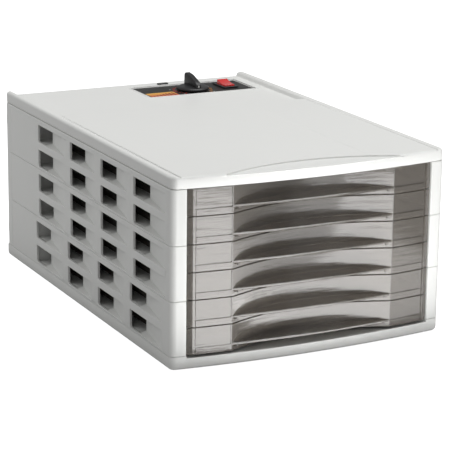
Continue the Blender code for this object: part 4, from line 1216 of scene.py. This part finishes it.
def tray_front(number):
    _, _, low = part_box("tray_front_%d" % number)[0]
    half, _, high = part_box("tray_front_%d" % number)[1]
    base = low - GAP
    front = front_shell(number, base, low, high, half)
    union(front, front_lip(base))
    boss_x = sizes("tray").hollow_half - 0.0062
    boss_y = corner_y() + bow(boss_x) + 0.0013
    union(front, rods("boss", [((side * boss_x, boss_y, base + 0.0036), 'Z', 0.0030, 0.0011)
                               for side in (-1, 1)], 20))
    return front


def raised_copy(obj, node, name):
    """Copy of the lowest tray's piece, raised to the level of another tray's solid."""
    copy = bpy.data.objects.new(name, obj.data.copy())
    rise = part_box(node)[0][2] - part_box(node[:-1] + "1")[0][2]
    copy.data.transform(Matrix.Translation((0.0, 0.0, rise)))
    bpy.context.scene.collection.objects.link(copy)
    return copy


class DEHYDRATOR_OT_tray_fronts(bpy.types.Operator):
    """Build the six smoked fronts with their finger hollows and lips"""
    bl_idname = "dehydrator.tray_fronts"
    bl_label = "Tray fronts"

    def execute(self, context):
        first = tray_front(1)
        soften(first, 0.0, smooth=22.0)
        for number in range(1, LEVELS + 1):
            node = "tray_front_%d" % number
            front = first if number == 1 else raised_copy(first, node, "smoked_front_%d" % number)
            place(front, TRAY_BODY % number, smoked_plastic(), "smoked", node)
        return {'FINISHED'}


class DEHYDRATOR_OT_trays(bpy.types.Operator):
    """Build the six open trays behind the fronts"""
    bl_idname = "dehydrator.trays"
    bl_label = "Trays"

    def execute(self, context):
        s = sizes("tray")
        (_, _, z0), (x1, y1, z1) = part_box("tray_1")
        back = s.wall + GAP
        line = corner_y()
        flat_end = 0.114        # where the front edge leaves the housing's bow for the hollow
        plan = [(-x1, line + bow(x1) + back)]
        plan += [(x, line + front_face(x) + back)
                 for x in [-flat_end] + steps(-s.hollow_half, s.hollow_half, 36) + [flat_end]]
        plan += [(x1, line + bow(x1) + back), (x1, y1), (-x1, y1)]
        tray = prism("open_tray_1", plan, z0, z1)
        rim, plate, rib = 0.008, 0.003, 0.005
        inner_x = x1 - rim
        inner_front = line + s.hollow_apex + s.wall + rim
        inner_rear = y1 - rim
        carve(tray, boxes("well", [((-inner_x, inner_front, z0 + plate),
                                    (inner_x, inner_rear, z1 + 0.02))]))
        columns, rows = 12, 14
        step_x = (2 * inner_x - rib) / columns
        step_y = (inner_rear - inner_front - rib) / rows
        half_rib = [rib / 2 if n % 2 == 0 else rib / 4 for n in range(rows + 1)]
        windows = []
        for column in range(columns):
            for row in range(rows):
                x = -inner_x + rib / 2 + column * step_x
                y = inner_front + rib / 2 + row * step_y
                windows.append(((x + half_rib[column], y + half_rib[row], z0 - 0.002),
                                (x + step_x - half_rib[column + 1], y + step_y - half_rib[row + 1],
                                 z0 + plate + 0.001)))
        carve(tray, boxes("windows", windows))
        edge = 0.0004
        soften(tray, edge, 2, 50.0)
        for number in range(1, LEVELS + 1):
            node = "tray_%d" % number
            copy = tray
            if number > 1:
                copy = soften(raised_copy(tray, node, "open_tray_%d" % number), edge, 2, 50.0)
            place(copy, TRAY_BODY % number, tray_plastic(), "smoked", node)
        return {'FINISHED'}


def strand(at, wide, middle, low, high):
    """Six-sided section of a drying sheet's strand, across its run."""
    flat = wide * 0.6
    return [(at - wide, middle), (at - flat, high), (at + flat, high),
            (at + wide, middle), (at + flat, low), (at - flat, low)]


class DEHYDRATOR_OT_sheets(bpy.types.Operator):
    """Build the six loose drying sheets as lattices of crossing strands"""
    bl_idname = "dehydrator.sheets"
    bl_label = "Drying sheets"

    def execute(self, context):
        pitch = sizes("tray").strand_pitch
        border, thin, dip = 0.0011, 0.00055, 0.0001
        for number in range(1, LEVELS + 1):
            node = "mesh_sheet_%d" % number
            (x0, y0, z0), (x1, y1, z1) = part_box(node)
            bm = bmesh.new()
            across, along = round((x1 - x0) / pitch), round((y1 - y0) / pitch)
            for i in range(across + 1):
                wide = border if i in (0, across) else thin
                x = x0 + wide + (x1 - x0 - 2 * wide) * i / across
                add_prism_y(bm, strand(x, wide, (z0 + z1) / 2, z0 + dip, z1), y0, y1)
            for i in range(along + 1):
                wide = border if i in (0, along) else thin
                y = y0 + wide + (y1 - y0 - 2 * wide) * i / along
                add_prism_x(bm, strand(y, wide, (z0 + z1) / 2, z0, z1 - dip), x0, x1)
            sheet = new_piece("strands_%d" % number, bm)
            place(sheet, TRAY_BODY % number, sheet_plastic(), "sheet", node)
        return {'FINISHED'}


# ------------------------------------------------------------------ controls
INK = 0.00015               # height of printed marks over the panel
SWITCH_FLANGE = 0.0015
PIVOT_DROP = 0.003          # the rocker's pivot below the switch's flange


def white_ink():
    return printed("White ink", (0.75, 0.75, 0.72))


def panel_plate():
    z0, z1 = (corner[2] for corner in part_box("control_panel"))
    edge = 0.0004
    panel = loft("panel_plate", [grown("control_panel", -inset, z) for inset, z in
                                 ((0.0, z0), (0.0, z1 - edge), (edge, z1))])
    open_for_controls(panel, z0 - 0.01, z1 + 0.01)
    return panel


def panel_border(floor):
    """Raised rounded border round the sunk panel."""
    low, shoulder, top = floor - 0.0012, floor + 0.0004, floor + 0.0007
    section = ((0.0010, low), (0.0010, shoulder), (0.0013, top), (0.0022, top),
               (0.0027, shoulder), (0.0030, low))
    return loft("panel_border", [grown("control_panel", grow, z) for grow, z in section], ring=True)


def dial_marks(top):
    """Scale round the knob: short and long marks, red below and amber above, and five dots."""
    knob_x, knob_y, _ = centre("thermostat_spindle")
    turn_start, turn, marks, reds, dots = 225, 270, 25, 11, 5
    red, amber, white = bmesh.new(), bmesh.new(), bmesh.new()
    middle = Vector((knob_x, knob_y))
    for index in range(marks):
        angle = math.radians(turn_start - index * turn / (marks - 1))
        near, far, half_wide = 0.0215, 0.0238, 0.0004
        if index % 4 == 0:
            far, half_wide = 0.0252, 0.0006
        out = Vector((math.cos(angle), math.sin(angle)))
        across = Vector((-math.sin(angle), math.cos(angle))) * half_wide
        corners = [middle + out * near - across, middle + out * far - across,
                   middle + out * far + across, middle + out * near + across]
        add_prism(red if index < reds else amber, [tuple(c) for c in corners],
                  top - 0.0001, top + INK)
    for index in range(dots):
        angle = math.radians(turn_start - index * turn / (dots - 1))
        away = 0.0272
        add_rod(white, (knob_x + away * math.cos(angle), knob_y + away * math.sin(angle),
                        top - 0.0001), 'Z', 0.00025, 0.0009, 20)
    return (new_piece("marks_low", red), new_piece("marks_high", amber),
            new_piece("dial_dots", white))


class DEHYDRATOR_OT_control_panel(bpy.types.Operator):
    """Build the sunk panel with its scale, dial marks and label"""
    bl_idname = "dehydrator.control_panel"
    bl_label = "Control panel"

    def execute(self, context):
        (x0, y0, _), (x1, y1, top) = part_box("control_panel")
        floor = LID_HIGH[2] - sizes("lid").zone_drop
        place(soften(panel_plate(), 0.0), "housing", panel_plastic(), "black", "control_panel")
        place(soften(panel_border(floor), 0.0), "housing", lid_plastic(), "housing")
        clip = boxes("rear_clip", [((0.034, y1 + 0.0045, floor - 0.0008),
                                    (0.047, y1 + 0.0095, floor + 0.0016))])
        place(soften(clip, 0.0004), "housing", black_plastic(), "black")
        under = top - 0.0001
        label = boxes("scale_label", [((x0 + 0.0030, y0 + 0.0040, under),
                                       (x0 + 0.0385, y0 + 0.0245, top + 0.00014))])
        place(soften(label, 0.0), "housing", label_ink(), "red")
        bars = boxes("scale_bars", [((x0 + 0.0065 + i * 0.0045, y0 + 0.0065, top),
                                     (x0 + 0.0085 + i * 0.0045, y0 + 0.0095 + i * 0.0018,
                                      top + 0.00022)) for i in range(7)])
        place(soften(bars, 0.0), "housing", printed("Dark red ink", (0.16, 0.012, 0.006)), "red")
        low_marks, high_marks, dots = dial_marks(top)
        place(soften(low_marks, 0.0), "housing", printed("Red ink", (0.62, 0.03, 0.02)), "red")
        place(soften(high_marks, 0.0), "housing", printed("Amber ink", (0.80, 0.30, 0.03)), "red")
        place(soften(dots, 0.0), "housing", white_ink(), "cream")
        (sx0, _, _), (sx1, _, _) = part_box("switch_housing")
        lines = boxes("panel_lines", [((sx0 - 0.002, y0 + 0.0035, under),
                                       (sx1 + 0.002, y0 + 0.0040, top + INK)),
                                      ((x0 + 0.0030, y1 - 0.0045, under),
                                       (x1 - 0.0030, y1 - 0.0041, top + INK))])
        place(soften(lines, 0.0), "housing", printed("Grey ink", (0.30, 0.30, 0.30)), "black")
        return {'FINISHED'}


def knob_skirt(radius, skirt):
    """Low dished skirt with fine ridges round its edge."""
    cx, cy, _ = centre("knob")
    ridges = sizes("control").knob_ridges
    profile = [(0.0, skirt + 0.0013), (radius * 0.35, skirt + 0.0012),
               (radius * 0.7, skirt + 0.0008), (radius - 0.0022, skirt),
               (radius - 0.0012, skirt - 0.0004), (radius, skirt - 0.0016), (radius, 0.0004),
               (radius - 0.0004, 0.0), (0.0, 0.0)]
    knob = lathe("knob_skirt", profile, (cx, cy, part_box("knob")[0][2]), ridges * 4)
    depth = 0.00045
    for vert in knob.data.vertices:
        dx, dy = vert.co.x - cx, vert.co.y - cy
        away = math.hypot(dx, dy)
        if away > radius * 0.95:
            wave = 0.5 - 0.5 * math.cos(math.atan2(dy, dx) * ridges)
            share = 1.0 - depth * wave / away
            vert.co.x, vert.co.y = cx + dx * share, cy + dy * share
    return knob


def knob_fin(half, skirt, tall):
    """Upright grip, highest at its rear end and sloping down to the pointer."""
    cx, cy, _ = centre("knob")
    z0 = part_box("knob")[0][2]
    half_thick, round_end = 0.00325, 0.0045
    profile = [(-half, skirt - 0.002), (half, skirt - 0.002)]
    profile += arc(half - round_end, tall - 0.0046, round_end, 0, 70, 5)
    profile += [(0.004, tall - 0.0016), (-0.004, tall - 0.0042), (-half + 0.0055, tall - 0.0068),
                (-half + 0.0016, tall - 0.0084), (-half, tall - 0.0104)]
    bm = bmesh.new()
    add_prism_x(bm, [(cy + u, z0 + v) for u, v in profile], cx - half_thick, cx + half_thick)
    fin = new_piece("fin", bm)
    return soften_now(fin, 0.0008)


class DEHYDRATOR_OT_knob(bpy.types.Operator):
    """Build the thermostat knob with its ridged skirt and tall grip"""
    bl_idname = "dehydrator.knob"
    bl_label = "Knob"

    def execute(self, context):
        (x0, _, z0), (x1, _, z1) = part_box("knob")
        cx, cy, _ = centre("knob")
        skirt, tall, half_grip = 0.0034, z1 - z0, 0.017
        knob = knob_skirt((x1 - x0) / 2, skirt)
        fin = knob_fin(half_grip, skirt, tall)
        bore = skirt + 0.0145 * 0.45
        for part in (knob, fin):
            carve(part, rods("bore", [((cx, cy, z0 - 0.005), 'Z', bore + 0.005, 0.0023)]))
        add_to(knob, fin)
        place(soften(knob, 0.0, smooth=28.0), "knob", knob_plastic(), "black", "knob")
        tip, half_wide = cy - half_grip, 0.0006
        pointer = boxes("pointer", [((cx - half_wide, tip - 0.00008, z0 + 0.0042),
                                     (cx + half_wide, tip + 0.001, z1 - 0.0112))])
        place(soften(pointer, 0.0), "knob", white_ink(), "cream")
        return {'FINISHED'}


def switch_body():
    """Black switch housing with a thin flange, open where the rocker sits."""
    (x0, y0, z0), (x1, y1, z1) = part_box("switch_housing")
    wall = 0.0014
    body = boxes("switch_body", [((x0 + wall, y0 + wall, z0), (x1 - wall, y1 - wall, z1 - 0.0005))])
    flange = boxes("flange", [((x0, y0, z1 - SWITCH_FLANGE), (x1, y1, z1))])
    union(body, soften_now(flange, 0.0005))
    carve(body, boxes("well", [((x0 + 2 * wall, y0 + 2 * wall, z0 + 0.004),
                                (x1 - 2 * wall, y1 - 2 * wall, z1 + 0.01))]))
    _, cy, _ = centre("switch_housing")
    pivot = z1 - SWITCH_FLANGE - PIVOT_DROP
    carve(body, rods("pivot_holes", [((x0 - 0.01, cy, pivot), 'X', 0.04, 0.0013)], 20))
    return body


def rocker_cap():
    """Tilted rocker with a dished crown and its pivot pins."""
    cx, cy, _ = centre("switch_housing")
    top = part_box("switch_housing")[1][2]
    pivot = top - SWITCH_FLANGE - PIVOT_DROP
    half_long, half_wide, dish = 0.0104, 0.0067, 0.0014
    crown = top - pivot + 0.0035
    shape = [(-half_long, crown - 0.0005), (-half_long, -0.0005), (-0.0035, -0.0050),
             (0.0035, -0.0050), (half_long, -0.0005), (half_long, crown - 0.0005)]
    shape += [(u, crown - dish + dish * (u / half_long) ** 2)
              for u in steps(half_long - 0.0006, -half_long + 0.0006, 10)]
    tilt = math.radians(10.0)
    shape = [(cy + u * math.cos(tilt) - v * math.sin(tilt),
              pivot + u * math.sin(tilt) + v * math.cos(tilt)) for u, v in shape]
    bm = bmesh.new()
    add_prism_x(bm, shape, cx - half_wide, cx + half_wide)
    rocker = soften_now(new_piece("rocker_cap", bm), 0.0004)
    (x0, _, _), (x1, _, _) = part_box("switch_rocker")
    return union(rocker, rods("pins", [((x0, cy, pivot), 'X', x1 - x0, 0.0010)], 20))


class DEHYDRATOR_OT_power_switch(bpy.types.Operator):
    """Build the rocker switch: black housing and lit red rocker"""
    bl_idname = "dehydrator.power_switch"
    bl_label = "Switch"

    def execute(self, context):
        place(soften(switch_body(), 0.0), "housing", black_plastic(), "black", "switch_housing")
        place(soften(rocker_cap(), 0.0), "rocker", lit_red(), "red", "switch_rocker")
        return {'FINISHED'}


# ------------------------------------------------------------------ fan, motor and heater
def fan_blade(bm, turn, hub, tip, front, deep, centre_z):
    """One twisted, cambered blade between the hub and the tip."""
    rows = []
    for r in steps(hub - 0.001, tip, 8):
        share = (r - hub) / (tip - hub)
        pitch = math.radians(40 - 14 * share)
        chord = min(0.021, (deep - 0.0026) / math.sin(pitch)) * (1 - 0.12 * share ** 3)
        row = []
        for t in steps(-0.5, 0.5, 8):
            along = t * chord
            camber = 0.0016 * (1 - 4 * t * t)
            u = along * math.cos(pitch) + camber * math.sin(pitch)
            v = along * math.sin(pitch) - camber * math.cos(pitch)
            angle = turn + u / max(r, 0.03)
            row.append((r * math.sin(angle), front + deep / 2 + v, centre_z + r * math.cos(angle)))
        rows.append(row)
    half_thick = 0.0006
    near, far = ([[bm.verts.new((x, y + lift, z)) for x, y, z in row] for row in rows]
                 for lift in (-half_thick, half_thick))
    add_slab(bm, near, far)


class DEHYDRATOR_OT_fan(bpy.types.Operator):
    """Build the fan with twisted blades, and finish its shaft, shroud and bracket"""
    bl_idname = "dehydrator.fan"
    bl_label = "Fan"

    def execute(self, context):
        (_, y0, z0), (x1, y1, z1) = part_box("fan")
        centre_z = (z0 + z1) / 2
        deep = y1 - y0
        hub, blades = 0.020, 6
        profile = [(0.0023, 0.0), (hub - 0.002, 0.0), (hub - 0.0006, 0.0006), (hub, 0.002),
                   (hub, deep), (hub - 0.0016, deep), (hub - 0.0016, 0.004), (0.006, 0.004),
                   (0.005, deep - 0.001), (0.0023, deep - 0.001)]
        fan = lathe("fan_hub", profile, (0.0, y0, centre_z), 64, 'Y')
        bm = bmesh.new()
        tip = min(x1, (z1 - z0) / 2) - 0.0002
        for blade in range(blades):
            fan_blade(bm, math.tau * blade / blades, hub, tip, y0, deep, centre_z)
        add_to(fan, new_piece("blades", bm))
        place(soften(fan, 0.0), "rotor", black_plastic(), "black", "fan")
        for node in ("motor_shaft", "fan_shroud", "motor_bracket"):
            finish_node(node, steel_sheet())
        return {'FINISHED'}


class DEHYDRATOR_OT_motor(bpy.types.Operator):
    """Build the motor: laminated core and bearing plates"""
    bl_idname = "dehydrator.motor"
    bl_label = "Motor"

    def execute(self, context):
        (x0, y0, z0), (x1, y1, z1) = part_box("motor")
        plates, count, end, inset = [], 15, 0.0028, 0.003
        pitch = (y1 - y0 - 2 * inset) / count
        for index in range(count):
            y = y0 + inset + index * pitch
            thin = 0.0004 if index % 2 else 0.0
            plates.append(((x0 + thin, y, z0 + inset + thin),
                           (x1 - thin, y + pitch, z1 - inset - thin)))
        core = boxes("motor_core", plates)
        ends = boxes("motor_ends", [((x0 + 0.004, y0, z0), (x1 - 0.004, y0 + end, z1)),
                                    ((x0 + 0.004, y1 - end, z0), (x1 - 0.004, y1, z1))])
        cz = centre("motor")[2]
        for piece in (core, ends):
            carve(piece, rods("bore", [((0.0, y0 - 0.01, cz), 'Y', 0.0245, 0.0023)]))
        place(soften(core, 0.0), "housing", core_steel(), "steel", "motor")
        place(soften(ends, 0.0006, 2, 50.0), "housing", steel_sheet(), "steel", "motor")
        return {'FINISHED'}


class DEHYDRATOR_OT_heater(bpy.types.Operator):
    """Finish the heater, thermostat and wiring block behind the trays"""
    bl_idname = "dehydrator.heater"
    bl_label = "Heater"

    def execute(self, context):
        finish_node("heater_frame", mica())
        finish_node("heater_coil", heating_wire())
        for node in ("thermal_cutout", "thermostat_spindle"):
            finish_node(node, steel_sheet())
        for node in ("thermostat", "terminal_block"):
            finish_node(node, cream_plastic())
        return {'FINISHED'}


# ------------------------------------------------------------------ stage
def aim(obj, target):
    direction = Vector(target) - obj.location
    obj.rotation_euler = direction.to_track_quat('-Z', 'Y').to_euler()


def softbox(name, place_at, target, width, height, power):
    data = bpy.data.lights.new(name, 'AREA')
    data.shape = 'RECTANGLE'
    data.size = width
    data.size_y = height
    data.energy = power
    lamp = bpy.data.objects.new(name, data)
    lamp.location = place_at
    aim(lamp, target)
    lamp.visible_camera = False
    bpy.context.scene.collection.objects.link(lamp)
    return lamp


def floor_piece():
    """Large pale floor that is white to the camera."""
    bm = bmesh.new()
    bmesh.ops.create_grid(bm, x_segments=8, y_segments=8, size=7.0)
    floor = new_piece("floor", bm)
    mat = moulded("Pale floor", (0.50, 0.50, 0.50), 0.6, 0.004, 0.02, 60.0, 0.0)
    shader = mat.node_tree.nodes["Principled BSDF"]
    path = mat.node_tree.nodes.new("ShaderNodeLightPath")
    shader.inputs["Emission Color"].default_value = (1.0, 1.0, 1.0, 1.0)
    wire(mat.node_tree, path.outputs["Is Camera Ray"], shader.inputs["Emission Strength"])
    floor.data.materials.append(mat)
    return floor


def studio_world(fill):
    """White backdrop to the camera, and an even fill for everything else."""
    world = bpy.data.worlds.new("studio")
    world.use_nodes = True
    tree = world.node_tree
    backdrop = tree.nodes["Background"]
    backdrop.inputs["Color"].default_value = (1.0, 1.0, 1.0, 1.0)
    path = tree.nodes.new("ShaderNodeLightPath")
    strength = math_node(tree, 'MAXIMUM', path.outputs["Is Camera Ray"], fill)
    wire(tree, strength, backdrop.inputs["Strength"])
    return world


def set_lights():
    softbox("top_softbox", (0.5, -0.25, 1.8), (0.0, 0.0, 0.2), 1.6, 1.6, 25.5)
    softbox("side_softbox", (-0.7, 0.5, 0.6), (-0.156, 0.15, 0.1), 0.5, 0.5, 1.2)
    softbox("front_softbox", (0.8, -2.2, 0.9), (0.0, 0.0, 0.1), 1.2, 0.8, 1.0)
    softbox("low_softbox", (0.30, -1.3, 0.10), (0.02, -0.2, 0.02), 0.5, 0.12, 0.9)
    for name, x, width, power in (("floor_card", -0.01, 0.27, 2.1),
                                  ("floor_card_side", 0.235, 0.22, 0.62)):
        card = softbox(name, (x, -0.61, 0.003), (x, -0.61, 1.0), width, 0.68, power)
        card.rotation_euler = (math.pi, 0.0, 0.0)


def add_camera(s):
    turn, tilt, roll = (math.radians(v) for v in (s.camera_turn, s.camera_tilt, s.camera_roll))
    forward = Vector((math.sin(turn) * math.cos(tilt), math.cos(turn) * math.cos(tilt),
                      -math.sin(tilt)))
    right = Vector((math.cos(turn), -math.sin(turn), 0.0))
    up = right.cross(forward)
    across = math.cos(roll) * right + math.sin(roll) * up
    upward = -math.sin(roll) * right + math.cos(roll) * up
    data = bpy.data.cameras.new("camera")
    data.lens = s.lens
    data.sensor_width = 36.0
    data.clip_start = 0.05
    camera = bpy.data.objects.new("camera", data)
    axes = Matrix((across, upward, -forward)).transposed()
    camera.matrix_world = Matrix.Translation(s.camera_place) @ axes.to_4x4()
    bpy.context.scene.collection.objects.link(camera)
    return camera


class DEHYDRATOR_OT_stage(bpy.types.Operator):
    """Set out the floor, the soft lights and the camera"""
    bl_idname = "dehydrator.stage"
    bl_label = "Stage"

    def execute(self, context):
        scene = context.scene
        scene.view_settings.view_transform = 'Standard'
        floor_piece()
        scene.world = studio_world(sizes("stage").fill)
        set_lights()
        scene.camera = add_camera(sizes("stage"))
        return {'FINISHED'}


# ------------------------------------------------------------------ panel and registration
OPERATORS = (DEHYDRATOR_OT_base, DEHYDRATOR_OT_feet, DEHYDRATOR_OT_modules, DEHYDRATOR_OT_lid,
             DEHYDRATOR_OT_rear_cover, DEHYDRATOR_OT_tray_fronts, DEHYDRATOR_OT_trays,
             DEHYDRATOR_OT_sheets, DEHYDRATOR_OT_control_panel, DEHYDRATOR_OT_knob,
             DEHYDRATOR_OT_power_switch, DEHYDRATOR_OT_fan, DEHYDRATOR_OT_motor,
             DEHYDRATOR_OT_heater, DEHYDRATOR_OT_stage)


class DEHYDRATOR_PT_pieces(bpy.types.Panel):
    """Sizes, colours and pieces of the dehydrator"""
    bl_idname = "DEHYDRATOR_PT_pieces"
    bl_label = "Dehydrator"
    bl_space_type = 'VIEW_3D'
    bl_region_type = 'UI'
    bl_category = "Dehydrator"

    def draw(self, context):
        for operator in OPERATORS:
            self.layout.operator(operator.bl_idname)
        for name, group in SETTINGS.items():
            box = self.layout.box()
            box.label(text=name.capitalize())
            for prop in group.__annotations__:
                box.prop(sizes(name), prop)


def register():
    for name, group in SETTINGS.items():
        bpy.utils.register_class(group)
        setattr(bpy.types.Scene, "dehydrator_" + name, PointerProperty(type=group))
    for cls in (*OPERATORS, DEHYDRATOR_PT_pieces):
        bpy.utils.register_class(cls)


def unregister():
    for cls in reversed((*OPERATORS, DEHYDRATOR_PT_pieces)):
        bpy.utils.unregister_class(cls)
    for name, group in SETTINGS.items():
        delattr(bpy.types.Scene, "dehydrator_" + name)
        bpy.utils.unregister_class(group)


def main():
    register()
    for operator in OPERATORS:
        family, piece = operator.bl_idname.split(".")
        getattr(getattr(bpy.ops, family), piece)()


if __name__ == "__main__":
    main()
